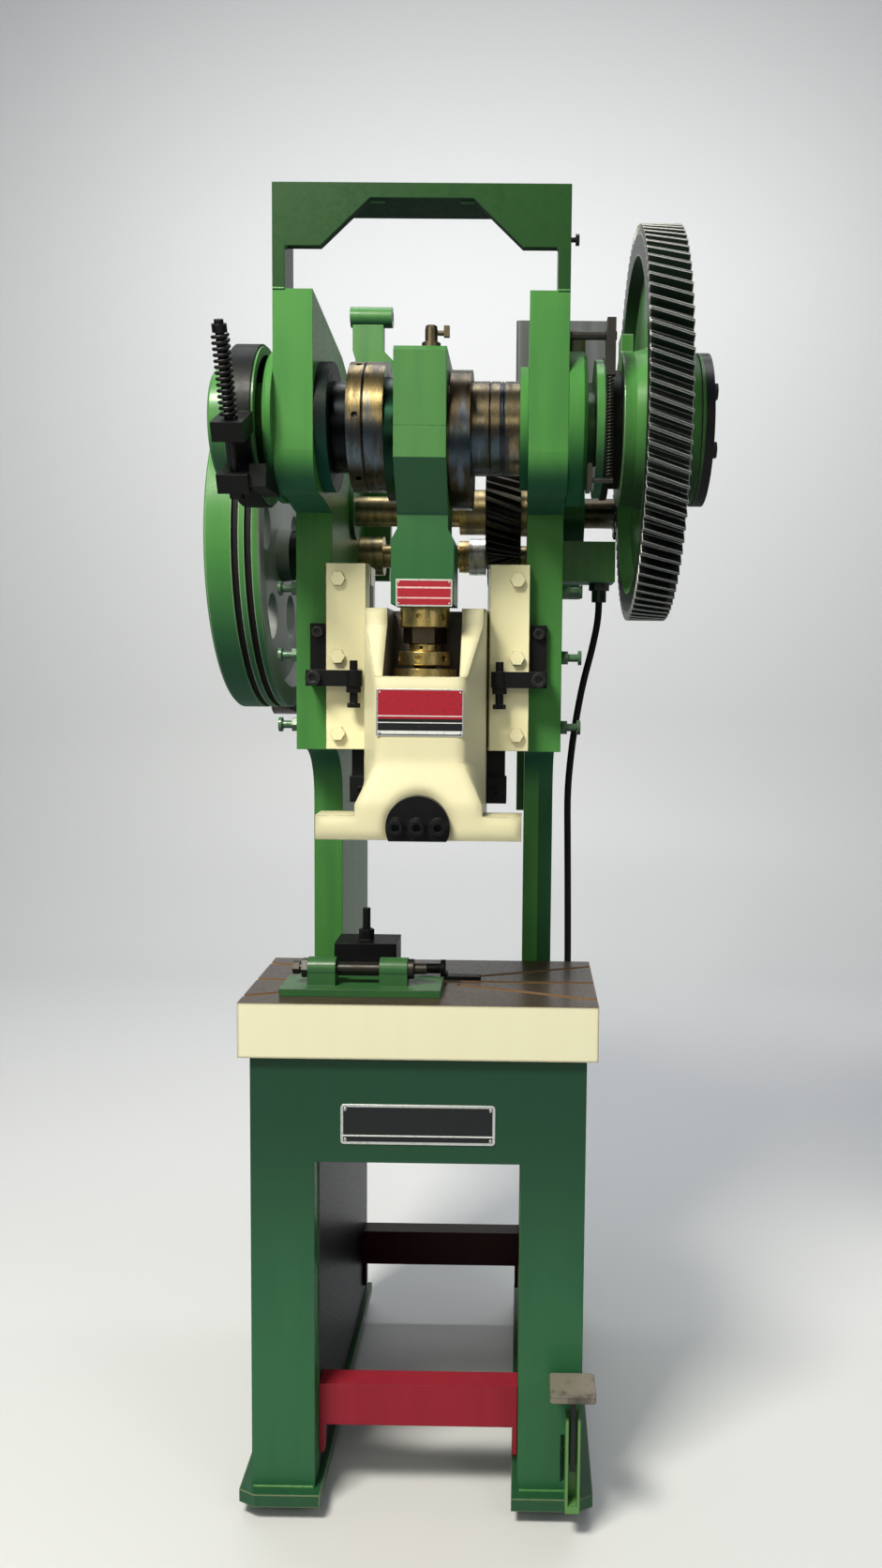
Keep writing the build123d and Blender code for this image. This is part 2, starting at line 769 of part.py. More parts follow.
lower_brake = brake_block(lower_block)
anchor_points = [
    (front - 52, crank_z - 123),
    (front + 56, crank_z - 123),
    (front + 40, crank_z - 111),
    (front + 22, crank_z - 98),
    (front + 10, crank_z - 87),
    (front - 52, crank_z - 87),
]
lower_brake += slab_x(anchor_points, brake_x[1], -cheek_out)
group("brake_band", [band, brake_block(upper_block)])
save("brake_anchor", lower_brake)
bolt = Pos(brake_mid_x, 0, lower_block[0] - 8) * Cylinder(
    brake_bolt_r, brake_bolt_top - lower_block[0] + 8, align=low)
bolt += Pos(brake_mid_x, 0, lower_block[0] - 12) * Cylinder(brake_bolt_r * 1.7, 12 - 0.2, align=low)
bolt += Pos(brake_mid_x, 0, brake_bolt_top - 18) * Cylinder(brake_bolt_r * 1.6, 12, align=low)
bolt -= Pos(brake_mid_x, 0, brake_bolt_top) * Box(40, 3, 8)
save("brake_bolt", gap_place * bolt)


def coil(radius, wire, turns, length):
    """Coil spring that stands on its end, swept along a helix with square ends closed flat."""
    pitch = (length - wire * 2) / turns
    path = Helix(pitch, length - wire * 2, radius)
    start = path @ 0
    profile = Plane(origin=start, z_dir=path % 0) * Circle(wire)
    return Pos(0, 0, wire) * sweep(profile, path=path)


brake_spring_len = brake_bolt_top - 18 - upper_block[1] - 0.6
brake_spring = coil(brake_spring_r, spring_wire, brake_spring_turns, brake_spring_len)
save("brake_spring", gap_place * Pos(brake_mid_x, 0, upper_block[1] + 0.3) * brake_spring)

# Clutch discs and the trip collar turn with the crankshaft, beside the free gear.
disc_a = tube_x(disc_green[0], disc_green[1], disc_green[2], tail_r + shaft_gap, crank_y, crank_z)
disc_b = tube_x(disc_black[0], disc_black[1], disc_black[2], tail_r + shaft_gap, crank_y, crank_z)
spacer = tube_x(cheek_out + housing_t + 0.5, disc_green[0], main_r, tail_r + shaft_gap, crank_y, crank_z)
save("clutch_disc_green", disc_a + spacer)
trip_collar = tube_x(collar[0], collar[1], collar[2], tail_r + shaft_gap, crank_y, crank_z)
notch = block(collar[0], collar[1], crank_y - 20, crank_y + 20, crank_z + collar[2] - 14,
              crank_z + collar[2] + 10)
group("trip_collar", [disc_b, trip_collar - notch, rolling_key])
end_x = hub_x[1]
end_disc = tube_x(end_x + 0.5, end_x + end_disc_t, end_disc_r, 12.1, crank_y, crank_z)
end_disc += tube_x(end_x, end_x + 0.5, tail_r, 12.1, crank_y, crank_z)
nuts = []
nuts.append(hex_x(end_x + end_disc_t, end_x + end_disc_t + 12, 34, crank_y, crank_z))
for angle in (150, 210, 330, 30):
    y = crank_y + 92 * math.cos(math.radians(angle))
    z = crank_z + 92 * math.sin(math.radians(angle))
    nuts.append(hex_x(end_x + end_disc_t, end_x + end_disc_t + 9, 24, y, z))
group("end_disc", [end_disc] + nuts)


# Gears. A tooth row is a polygon on each end face, joined by straight flanks along the helix.
def gear_outline(x, teeth, module, phase, y, z):
    """Closed wire of a gear's tooth tips and roots at one place along X."""
    pitch_r = teeth * module / 2
    tip_r = pitch_r + module * 0.94
    root_r = pitch_r - module * 1.2
    half = tooth_share * math.pi / teeth
    tip_half = half * 0.48
    root_half = half * 1.36
    points = []
    for tooth in range(teeth):
        middle = phase + 2 * math.pi * tooth / teeth
        corners = ((-root_half, root_r), (-tip_half, tip_r), (tip_half, tip_r), (root_half, root_r))
        for offset, radius in corners:
            angle = middle + offset
            points.append(Vector(x, y + radius * math.cos(angle), z + radius * math.sin(angle)))
    return Wire.make_polygon(points, close=True)


def toothed(ends, teeth, module, phase, hand, y, z):
    """Helical gear with no bore; the phase holds at the middle of its width."""
    width = ends[1] - ends[0]
    twist = hand * width * math.tan(math.radians(helix_deg)) / (teeth * module / 2)
    outline = gear_outline(ends[0], teeth, module, phase - twist / 2, y, z)
    centre = Vector(ends[0], y, z)
    along = Vector(width, 0, 0)
    return Part() + Solid.extrude_linear_with_rotation(outline, centre, along, math.degrees(twist))


line_1 = math.atan2(mid_z - crank_z, mid_y - crank_y)
line_2 = math.atan2(fly_z - mid_z, fly_y - mid_y)
wheel = toothed(wheel_x, wheel_teeth, wheel_module, line_1, 1, crank_y, crank_z)
web_mid = (wheel_x[0] + wheel_x[1]) / 2
recess_points = [
    (wheel_x[0], hub_in_r),
    (wheel_x[0], wheel_rim_r),
    (web_mid - wheel_web_t / 2, wheel_rim_r - 14),
    (web_mid - wheel_web_t / 2, hub_in_r + 6),
]
wheel -= turned_x(crank_y, crank_z, recess_points)
mirrored_recess = [(2 * web_mid - x, r) for x, r in recess_points]
wheel -= turned_x(crank_y, crank_z, mirrored_recess)
wheel += rod_x(hub_x[0], wheel_x[0], hub_in_r, crank_y, crank_z)
wheel += rod_x(wheel_x[1] - 20, hub_x[1], hub_out_r, crank_y, crank_z)
lug = block(hub_x[0], wheel_x[0], crank_y - 26, crank_y + 26, crank_z + hub_in_r - 8, crank_z + hub_in_r + 26)
wheel += lug
wheel -= rod_x(hub_x[0], hub_x[1], tail_r + wheel_bush_wall, crank_y, crank_z)
save("bull_gear", wheel)
save("gear_bush", tube_x(hub_x[0], hub_x[1], tail_r + wheel_bush_wall, tail_r + shaft_gap, crank_y, crank_z))

# Intermediate shaft with the small pinion outside and the black gear inside.
mid_shaft_x = (-cheek_out - 6, wheel_x[1] + 12)
mid_shaft = rod_x(mid_shaft_x[0], mid_shaft_x[1], mid_shaft_r, mid_y, mid_z)
pinion_phase = line_1 + math.pi + math.pi / pinion_teeth
mid_shaft += toothed(wheel_x, pinion_teeth, wheel_module, pinion_phase, -1, mid_y, mid_z)
mid_gear = toothed(mid_x, mid_teeth, mid_module, line_2, 1, mid_y, mid_z)
save("inner_gear", mid_gear - rod_x(mid_x[0], mid_x[1], mid_shaft_r, mid_y, mid_z))
mid_shaft += rod_x(mid_x[1], plate_in - seat_gap, 46, mid_y, mid_z)
mid_sleeve = tube_x(40, mid_x[0], 44, mid_shaft_r, mid_y, mid_z)
group("intermediate_shaft", [mid_shaft, mid_sleeve])


def small_bush(shaft_r, y, z, x0, x1):
    """Bronze bush of a drive shaft in one side plate."""
    return tube_x(x0, x1, shaft_r + small_bush_wall, shaft_r + shaft_gap, y, z)


def round_hull(y0, z0, r0, y1, z1, r1):
    """Outline in Y and Z of the shape stretched round two circles."""
    span = Vector(y1 - y0, z1 - z0)
    lean = math.acos((r0 - r1) / span.length)
    heading = math.atan2(span.Y, span.X)
    points = []
    for side in (1, -1):
        angle = heading + side * lean
        points.append((y0 + r0 * math.cos(angle), z0 + r0 * math.sin(angle)))
        points.append((y1 + r1 * math.cos(angle), z1 + r1 * math.sin(angle)))
    quad = make_face(Polyline(points[0], points[1], points[3], points[2], close=True))
    return quad + Pos(y0, z0) * Circle(r0) + Pos(y1, z1) * Circle(r1)


plate_end = cheek_out + shaft_plate_t
plate_outline = round_hull(mid_y, mid_z, shaft_plate_rs[0], fly_y, fly_z, shaft_plate_rs[1])
shaft_plate = extrude(facing_x(cheek_out) * plate_outline, amount=shaft_plate_t)
shaft_plate -= rod_x(cheek_out, plate_end, mid_shaft_r + small_bush_wall, mid_y, mid_z)
shaft_plate -= rod_x(cheek_out, plate_end, fly_shaft_r + small_bush_wall, fly_y, fly_z)
mid_flange_left = tube_x(-cheek_out - 5, -cheek_out, 60, mid_shaft_r + small_bush_wall, mid_y, mid_z)
inner_flange = tube_x(-plate_in, -plate_in + 8, 56, mid_shaft_r + 0.3, mid_y, mid_z)
group("shaft_flanges", [shaft_plate, mid_flange_left, inner_flange])
drive_bushes = [small_bush(mid_shaft_r, mid_y, mid_z, plate_in, plate_end)]
drive_bushes.append(small_bush(mid_shaft_r, mid_y, mid_z, -cheek_out - 5, -plate_in))
drive_bushes.append(small_bush(fly_shaft_r, fly_y, fly_z, plate_in, plate_end))
drive_bushes.append(small_bush(fly_shaft_r, fly_y, fly_z, -cheek_out, -plate_in))

# Flywheel shaft, its pinion and collars, and the flywheel with two belt grooves.
fly_shaft = rod_x(flywheel_x[0] - 14, plate_end + 4, fly_shaft_r, fly_y, fly_z)
fly_phase = line_2 + math.pi + math.pi / fly_teeth
fly_shaft += toothed(mid_x, fly_teeth, mid_module, fly_phase, -1, fly_y, fly_z)
set_collar = tube_x(54, 88, 38, fly_shaft_r, fly_y, fly_z)
set_collar -= rod_z(fly_z + fly_shaft_r + 6, fly_z + 40, 5, 70, fly_y)
brass_collar = tube_x(33, 53.7, 33, fly_shaft_r, fly_y, fly_z)
left_ring = tube_x(-plate_in + seat_gap, -123, 40, fly_shaft_r, fly_y, fly_z)
group("flywheel_shaft", [fly_shaft, set_collar, brass_collar, left_ring])
rim_in = flywheel_r - flywheel_rim_t
web_0 = (flywheel_x[0] + flywheel_x[1] - flywheel_web_t) / 2 + 14
web_1 = web_0 + flywheel_web_t
flywheel_points = [
    (flywheel_x[0], fly_shaft_r),
    (flywheel_x[0], flywheel_hub_r),
    (web_0, flywheel_hub_r + 8),
    (web_0, rim_in - 8),
    (flywheel_x[0], rim_in),
    (flywheel_x[0], flywheel_r - 4),
    (flywheel_x[0] + 4, flywheel_r),
]
for groove_x in groove_xs:
    flywheel_points += [
        (groove_x - groove_w / 2, flywheel_r),
        (groove_x - groove_w / 2, flywheel_r - groove_depth),
        (groove_x + groove_w / 2, flywheel_r - groove_depth),
        (groove_x + groove_w / 2, flywheel_r),
    ]
flywheel_points += [
    (flywheel_x[1] - 3, flywheel_r),
    (flywheel_x[1], flywheel_r - 3),
    (flywheel_x[1], rim_in + 20),
    (web_1, rim_in + 6),
    (web_1, flywheel_hub_r + 8),
    (flywheel_x[1] + flywheel_hub_reach, flywheel_hub_r),
    (flywheel_x[1] + flywheel_hub_reach, fly_shaft_r),
]
flywheel = turned_x(fly_y, fly_z, flywheel_points)
for index in range(flywheel_holes):
    angle = 2 * math.pi * index / flywheel_holes + 0.35
    y = fly_y + flywheel_hole_ring * math.cos(angle)
    z = fly_z + flywheel_hole_ring * math.sin(angle)
    flywheel -= rod_x(flywheel_x[0], flywheel_x[1], flywheel_hole_r, y, z)
save("flywheel", flywheel)

# Motor on its shelf behind the frame, with a two-groove pulley and two belts.
motor_bore_r = motor_shaft_r + motor_bush_wall
motor_ends = ((motor_x[0], motor_x[0] + motor_end_t), (motor_x[1] - motor_end_t, motor_x[1]))
motor = rod_x(motor_x[0], motor_x[1], motor_r, motor_y, motor_z)
motor += block(motor_x[0] + motor_foot_inset, motor_x[1] - motor_foot_inset, motor_y - motor_foot_half,
               motor_y + motor_foot_half, shelf_z, motor_z - motor_r + 14)
motor -= rod_x(motor_ends[0][1], motor_ends[1][0], motor_r - motor_wall, motor_y, motor_z)
motor -= rod_x(motor_x[0], motor_x[1], motor_bore_r, motor_y, motor_z)
save("motor", motor)
rotor = rod_x(motor_ends[0][1] + 6, motor_ends[1][0] - 6, motor_r - motor_wall - 4, motor_y, motor_z)
rotor += rod_x(flywheel_x[0], motor_x[1] - 4, motor_shaft_r, motor_y, motor_z)
for x0, x1 in motor_ends:
    drive_bushes.append(tube_x(x0, x1, motor_bore_r, motor_shaft_r + shaft_gap, motor_y, motor_z))
group("drive_bushes", drive_bushes)
pulley = tube_x(flywheel_x[0], flywheel_x[1], pulley_r, motor_shaft_r, motor_y, motor_z)
for groove_x in groove_xs:
    pulley -= tube_x(groove_x - groove_w / 2, groove_x + groove_w / 2, pulley_r, pulley_r - groove_depth,
                     motor_y, motor_z)
group("motor_rotor", [rotor, pulley])


def belt_loop(inner_drop):
    """Outline round both wheels, at one depth in their grooves."""
    return round_hull(fly_y, fly_z, flywheel_r - inner_drop, motor_y, motor_z, pulley_r - inner_drop)


belts = []
loop = belt_loop(groove_depth - 0.5 - belt_t) - belt_loop(groove_depth - 0.5)
for groove_x in groove_xs:
    belts.append(extrude(facing_x(groove_x - belt_w / 2) * loop, amount=belt_w))
group("v_belts", belts)

# Bracket arm at the rear left with a cross tube, and the starter box on its own arm at the right.
arm_points = [
    (-plate_in, plate_top_rear - 210),
    (-plate_in + 52, plate_top_rear - 210),
    (-114, plate_top_rear + 40),
    (-114, arm_tube_z - 91),
    (-134, arm_tube_z - 71),
    (-134, arm_tube_z - 18),
    (-199, arm_tube_z - 18),
    (-199, arm_tube_z - 71),
    (-193, arm_tube_z - 91),
    (-193, plate_top_rear + 50),
    (-plate_in, plate_top_rear + 40),
]
arm = slab_y(arm_points, arm_y, arm_y + arm_t)
arm += rod_x(*arm_tube_x, arm_tube_r, arm_y + arm_t / 2, arm_tube_z)
arm -= rod_x(*arm_tube_x, arm_tube_r - 11, arm_y + arm_t / 2, arm_tube_z)
starter_y = plate_rear + starter_arm_t
starter_arm = block(plate_in, cheek_out, plate_rear, starter_y, *starter_arm_z)
starter = block(*starter_x, starter_y, starter_y + starter_depth, *starter_z)
group("rear_arms", [arm, starter_arm])
save("starter_box", fillet(starter.edges().filter_by(Axis.Z), 8))

# Clutch box on the right cheek with the gland of the treadle cable.
clutch_box = block(box_x[0], box_x[1], box_y[0], box_y[1], box_z[0], box_z[1])
gland = hex_z(box_z[0] - 14, box_z[0], 34, gland_x, gland_y)
gland += rod_z(box_z[0] - 36, box_z[0] - 14, 14, gland_x, gland_y)
gland -= rod_z(box_z[0] - 36, box_z[0] - 8, cable_r, gland_x, gland_y)
group("clutch_box", [clutch_box, gland])

# Trip lever at the clutch: it swings on a pin from the head and a spring pulls it down.
trip_pin = rod_x(cheek_out, trip_x[1] + 4, trip_pin_r, trip_pin_y, trip_pin_z)
trip_pin -= rod_x(trip_x[0] - 0.3, trip_x[1] + 0.3, trip_pin_r, trip_pin_y, trip_pin_z)
trip_pin += rod_x(cheek_out, trip_x[1] + 4, trip_pin_r - 1, trip_pin_y, trip_pin_z)
lever_points = [
    (trip_y - 9, trip_low),
    (trip_y + 5, trip_low),
    (trip_pin_y + 10, trip_pin_z - 10),
    (trip_pin_y + 12, trip_high),
    (trip_y - 9, trip_high),
]
lever = slab_x(lever_points, trip_x[0], trip_x[1])
lever -= rod_x(trip_x[0], trip_x[1], trip_pin_r - 1 + shaft_gap, trip_pin_y, trip_pin_z)
spring_x = (trip_x[0] + trip_x[1]) / 2
lever -= rod_x(trip_x[0], trip_x[1], 3, trip_y - 2, trip_low + 7)
save("trip_lever", lever)
anchor = block(cheek_out + housing_t, cheek_out + housing_t + 7, trip_y - 8, front + 52, trip_anchor_z - 10,
               trip_anchor_z + 26)
anchor += rod_x(cheek_out + housing_t + 7, spring_x + 6, 4, trip_y - 2, trip_anchor_z)
group("trip_mounts", [trip_pin, anchor])
trip_spring_low = trip_anchor_z + 4.3
trip_spring_high = trip_low - 0.3
trip_spring = coil(trip_spring_r, 1.3, trip_spring_turns, trip_spring_high - trip_spring_low)
save("trip_spring", Pos(spring_x, trip_y - 2, trip_spring_low) * trip_spring)

# Treadle: pedal on an upright post, a bar through the right leg, and its pivot on the side plate.
bar_low_z = treadle_z - treadle_bar_h / 2
bar_high_z = treadle_z + treadle_bar_h / 2
treadle = block(treadle_x[0], treadle_x[1], post_y[1], treadle_pivot_y + 18, bar_low_z, bar_high_z)
post_points = [
    (treadle_x[0] - 2, post_y[0]),
    (treadle_x[1] + 2, post_y[0]),
    (treadle_x[1] + 2, post_y[1]),
    (treadle_x[0] - 2, post_y[1]),
]
post_plan = make_face(Polyline(*post_points, close=True))
post = extrude(Pos(0, 0, post_low) * post_plan, amount=post_high - post_low)
channel = block(treadle_x[0] + 3, treadle_x[1] - 3, post_y[0] - 1, post_y[1] - 6, post_low + 14, post_high)
treadle = treadle + (post - channel)
treadle -= rod_x(treadle_x[0], treadle_x[1], 10 + shaft_gap, treadle_pivot_y, treadle_z)
stem = block(treadle_x[0] + 6, treadle_x[1] - 6, post_y[0] + 6, post_y[1] - 6, 120, pedal_top - pedal_t)
pedal = block(pedal_x[0], pedal_x[1], pedal_y[0], pedal_y[1], pedal_top - pedal_t, pedal_top)
pedal = fillet(pedal.edges().filter_by(Axis.Z), 6)
save("pedal", pedal + stem)
pivot = rod_x(plate_in + plate_t, treadle_x[1] + 6, 10, treadle_pivot_y, treadle_z)
pivot += rod_x(plate_in + plate_t, treadle_x[0] - 1, 18, treadle_pivot_y, treadle_z)

# Cable from the gland down to its stop beside the treadle.
cable_stop_z = 232.0
cable_x = 264.0
stop = block(plate_in + plate_t, cable_x + 16, cable_line_y - 16, cable_line_y + 16, cable_stop_z - 8,
             cable_stop_z)
stop -= rod_z(cable_stop_z - 8, cable_stop_z, 3.5, cable_x, cable_line_y)
group("treadle_brackets", [pivot, stop])
cable_points = [
    (gland_x, gland_y, box_z[0] - 8),
    (gland_x, gland_y, box_z[0] - 66),
    (301, cable_line_y + 8, 1498),
    (282, cable_line_y, 1425),
    (266, cable_line_y, 1330),
    (256, cable_line_y + 1, 1225),
    (259, cable_line_y, 1070),
    (262, cable_line_y + 1, 880),
    (261, cable_line_y, 660),
    (cable_x, cable_line_y, 440),
    (cable_x, cable_line_y, cable_stop_z),
]


def cable_arcs(points):
    """Radius of each corner of the cable's path, from its two runs and its turn."""
    radii = []
    for before, here, after in zip(points, points[1:], points[2:]):
        first = Vector(*here) - Vector(*before)
        second = Vector(*after) - Vector(*here)
        turn = math.radians(first.get_angle(second))
        radii.append(0.45 * min(first.length, second.length) / math.tan(turn / 2))
    return radii


arcs = cable_arcs(cable_points)
print("cable corner radii", [round(r) for r in arcs])
cable_path = FilletPolyline(*cable_points, radius=arcs)
cable_end = Plane(origin=cable_points[0], z_dir=(0, 0, -1)) * Circle(cable_r)
cable = sweep(cable_end, path=cable_path)
print("cable volume ratio", cable.volume / (math.pi * cable_r ** 2 * cable_path.length))
print("cable length", round(cable_path.length))
save("treadle_cable", cable)
wire = rod_z(bar_high_z, cable_stop_z - 8.5, 2.5, cable_x, cable_line_y)
group("treadle_lever", [treadle, wire])


# Connecting rod: the strap is split at the pin, and the neck ends in the head of the ball screw.
def strap_outline(upper):
    """Outline in Y and Z of the cap or of the rod's half of the strap."""
    top = pin_z + strap_top
    if upper:
        return [
            (crank_y - strap_front, pin_z),
            (crank_y - strap_front, top - 8),
            (crank_y - strap_front + 8, top),
            (crank_y + strap_back - 40, top),
            (crank_y + strap_back, top - 40),
            (crank_y + strap_back, pin_z),
        ]
    return [
        (crank_y - strap_front, pin_z),
        (crank_y - strap_front, strap_slope_z),
        (crank_y - neck_depth / 2 - 18, neck_high),
        (crank_y - neck_depth / 2 - 18, neck_low + 2),
        (crank_y + neck_depth / 2, neck_low + 2),
        (crank_y + neck_depth / 2, neck_high),
        (crank_y + strap_back, strap_slope_z),
        (crank_y + strap_back, pin_z),
    ]


strap_bore = rod_x(-rod_half, rod_half, bush_r, crank_y, pin_z)
cap = slab_x(strap_outline(True), -rod_half, rod_half) - strap_bore
save("strap_cap", cap)
rod = slab_x(strap_outline(False), -rod_half, rod_half) - strap_bore
head_points = [
    (-rod_head_half, rod_low),
    (rod_head_half, rod_low),
    (rod_head_half, neck_low - 14),
    (rod_half, neck_low + 4),
    (-rod_half, neck_low + 4),
    (-rod_head_half, neck_low - 14),
]
rod_head = slab_y(head_points, crank_y - rod_head_depth / 2, crank_y + rod_head_depth / 2)
rod += rod_head
rod -= rod_z(rod_low, neck_low + 12, screw_r + 0.1, 0, crank_y)
save("connecting_rod", rod)
cap_top = pin_z + strap_top
lubricator_y = front + 5
lubricator_x = 16
tap_z = cap_top + 24
lubricator = rod_z(cap_top, cap_top + 8, 15, lubricator_x, lubricator_y)
lubricator += rod_z(cap_top + 8, cap_top + 30, 10, lubricator_x, lubricator_y)
lubricator += hex_z(cap_top + 30, cap_top + 35, 16, lubricator_x, lubricator_y)
save("lubricator", lubricator)
tap = rod_x(lubricator_x + 10.3, lubricator_x + 24, 4, lubricator_y, tap_z)
tap += block(lubricator_x + 20, lubricator_x + 29, lubricator_y - 5, lubricator_y + 5, tap_z - 6, tap_z + 11)
save("lubricator_tap", tap)

# Ball screw with its hexagon, lock rings and the ball that sits in the ram.
screw = rod_z(nut_rings[2][0], neck_low + 8, screw_r, 0, crank_y)
screw += hex_z(nut_rings[1][1], nut_rings[0][0] - 0.1, screw_hex, 0, crank_y)
screw += rod_z(ball_z, nut_rings[2][0], screw_neck_r, 0, crank_y)
screw += Pos(0, crank_y, ball_z) * Sphere(ball_r)
save("ball_screw", screw)


def lock_ring(bottom, top, outer, inner):
    """Brass ring with tommy-bar holes round its rim."""
    ring_body = rod_z(bottom, top, outer, 0, crank_y) - rod_z(bottom, top, inner, 0, crank_y)
    ring_body = chamfer(ring_body.edges().filter_by(GeomType.CIRCLE).sort_by(Edge.length)[-2:], 1.5)
    middle = (bottom + top) / 2
    for turn in range(6):
        angle = math.radians(20 + 60 * turn)
        x = outer * math.cos(angle)
        y = crank_y + outer * math.sin(angle)
        place = Plane(origin=(x, y, middle), z_dir=(math.cos(angle), math.sin(angle), 0))
        ring_body -= place * Cylinder(min(tommy_r, (top - bottom) * 0.25), 20)
    return ring_body


rings = [lock_ring(*nut_rings[0], screw_r)]
rings.append(lock_ring(*nut_rings[1], screw_r))
rings.append(lock_ring(*nut_rings[2], screw_r))
group("lock_rings", rings)

# Ram: a box open to the front at the top, with a skirt and a flange round the shank clamp.
ram_points = [
    (-ram_front_half, ram_front),
    (ram_front_half, ram_front),
    (ram_half, ram_flare_y),
    (ram_half, ram_back),
    (-ram_half, ram_back),
    (-ram_half, ram_flare_y),
]
ram_plan = make_face(Polyline(*ram_points, close=True))
ram_plan = fillet(ram_plan.vertices().filter_by(lambda v: v.Y < ram_back - 1), ram_edge_r)
ram = extrude(Pos(0, 0, ram_low) * ram_plan, amount=ram_top - ram_low)
shoulder = [
    (ram_front - 1, ram_wall_top),
    (ram_front + 14, ram_wall_top),
    (ram_shoulder_y, ram_shoulder_z),
    (ram_shoulder_y, ram_top + 1),
    (ram_front - 1, ram_top + 1),
]
ram -= slab_x(shoulder, -ram_half, ram_half)
ram -= block(-ram_pocket_half, ram_pocket_half, ram_front - 1, ram_pocket_back, ram_wall_top, ram_top + 1)
ram -= rod_z(cup_low, ram_wall_top, cup_r, 0, crank_y)
ball_room_r = ball_r + 1.5
pocket_low = ball_z - ball_r - ball_drop
for y in (crank_y, crank_y + crank_throw):
    ram -= rod_z(pocket_low, cup_low, ball_room_r, 0, y)
ram -= block(-ball_room_r, ball_room_r, crank_y, crank_y + crank_throw, pocket_low, cup_low)
flange = block(-ram_flange_half, ram_flange_half, ram_flange_front, ram_flange_back, ram_low,
               ram_low + ram_flange_t)
ram += flange
ram += block(-ram_half, ram_half, ram_flange_front, ram_flare_y, ram_low, ram_skirt_z[0])


def skirt_section(half, y0, z):
    """Level face of the skirt: its front may be narrower than its back."""
    corners = ((-half, y0), (half, y0), (ram_half, ram_flare_y), (-ram_half, ram_flare_y))
    return Pos(0, 0, z) * make_face(Polyline(*corners, close=True))


skirt_faces = [skirt_section(ram_half, ram_flange_front, ram_skirt_z[0])]
skirt_faces.append(skirt_section(ram_front_half, ram_front, ram_skirt_z[1]))
ram += loft(skirt_faces, ruled=True)
ram -= rod_y(ram_flange_front - 1, ram_flange_front + clamp_t, clamp_r, 0, ram_low + 22)
ram -= rod_z(ram_low, ram_low + shank_depth, shank_bore_r, 0, crank_y)
save("ram", ram)
cup = rod_z(cup_low, cup_high, cup_r, 0, crank_y) - rod_z(cup_low, cup_high, cup_bore_r, 0, crank_y)
save("ball_cup_ring", cup)
clamp = rod_y(ram_flange_front - 14, ram_flange_front + clamp_t, clamp_r - 0.1, 0, ram_low + 22)
clamp = clamp & block(-clamp_r, clamp_r, ram_flange_front - 14, ram_flange_front + clamp_t, ram_low,
                      ram_low + 90)
clamp_heads = []
for x in (-clamp_bolt_pitch, 0, clamp_bolt_pitch):
    washer = rod_y(ram_flange_front - 17, ram_flange_front - 14, clamp_bolt_r + 3, x, clamp_bolt_z)
    head = socket_head(ram_flange_front - 17, x, clamp_bolt_z, clamp_bolt_r, clamp_head_t)
    clamp_heads.append(washer + head)
group("shank_clamp", [clamp] + clamp_heads)

# Ways: black strips on the ram's sides that run in the guides, each with a clamp block below.
way = block(ram_half, way_out, way_front, way_front + way_t, way_low + 18, way_high)
way_clamp = block(ram_half, ram_half + way_clamp_w, way_front - 8, way_front + way_t, way_low - 28,
                  way_low + 18)
way_clamp = way_clamp + socket_head(way_front - 8, ram_half + 16, way_low - 8, 9, 7)
group("ram_ways", both_sides(way) + both_sides(way_clamp))

# Fixture on the table: base with two lugs, cross bolt, two-part block, stud and side stop.
fixture_base = block(*base_x, *base_y, table_top, table_top + base_t)
for span in lug_xs:
    fixture_base += block(*span, lug_y - lug_r + 1, lug_y + lug_r - 1, table_top + base_t, lug_z)
    fixture_base += rod_x(*span, lug_r, lug_y, lug_z)
fixture_base -= rod_x(*base_x, cross_bolt_r, lug_y, lug_z)
save("fixture_base", fixture_base)
cross_bolt = rod_x(*cross_bolt_x, cross_bolt_r, lug_y, lug_z)
cross_bolt += hex_x(lug_xs[0][0] - 11, lug_xs[0][0], 30, lug_y, lug_z)
cross_bolt += hex_x(cross_bolt_x[0], cross_bolt_x[0] + 12, 20, lug_y, lug_z)
washer = tube_x(lug_xs[1][1], lug_xs[1][1] + 10, 17, cross_bolt_r, lug_y, lug_z)
group("fixture_bolt", [cross_bolt, washer])
lower_half = block(*clamp_block_x, *clamp_block_y, *clamp_block_zs[:2])
upper_half = block(*clamp_block_x, *clamp_block_y, *clamp_block_zs[1:])
stud_y = sum(clamp_block_y) / 2
stud = hex_z(clamp_block_zs[2], clamp_block_zs[2] + 18, 24, stud_x, stud_y)
stud += rod_z(clamp_block_zs[2] + 18, clamp_block_zs[2] + 56, stud_r, stud_x, stud_y)
bar_end = clamp_block_x[1] + 76
side_bar = rod_x(clamp_block_x[1], bar_end, side_bar_r, side_bar_y, table_top + 18)
side_bar += rod_x(bar_end, bar_end + 8, 16, side_bar_y, table_top + 18)
side_bar += block(bar_end + 2, bar_end + 12, side_bar_y - 10, side_bar_y + 10, table_top, table_top + 12)
side_bar += block(bar_end + 8, bar_end + 72, side_bar_y - 10, side_bar_y + 10, table_top, table_top + 6)
group("fixture_block", [lower_half, upper_half, stud, side_bar])
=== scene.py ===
import math
import bpy
import numpy as np
from mathutils import Matrix, Vector


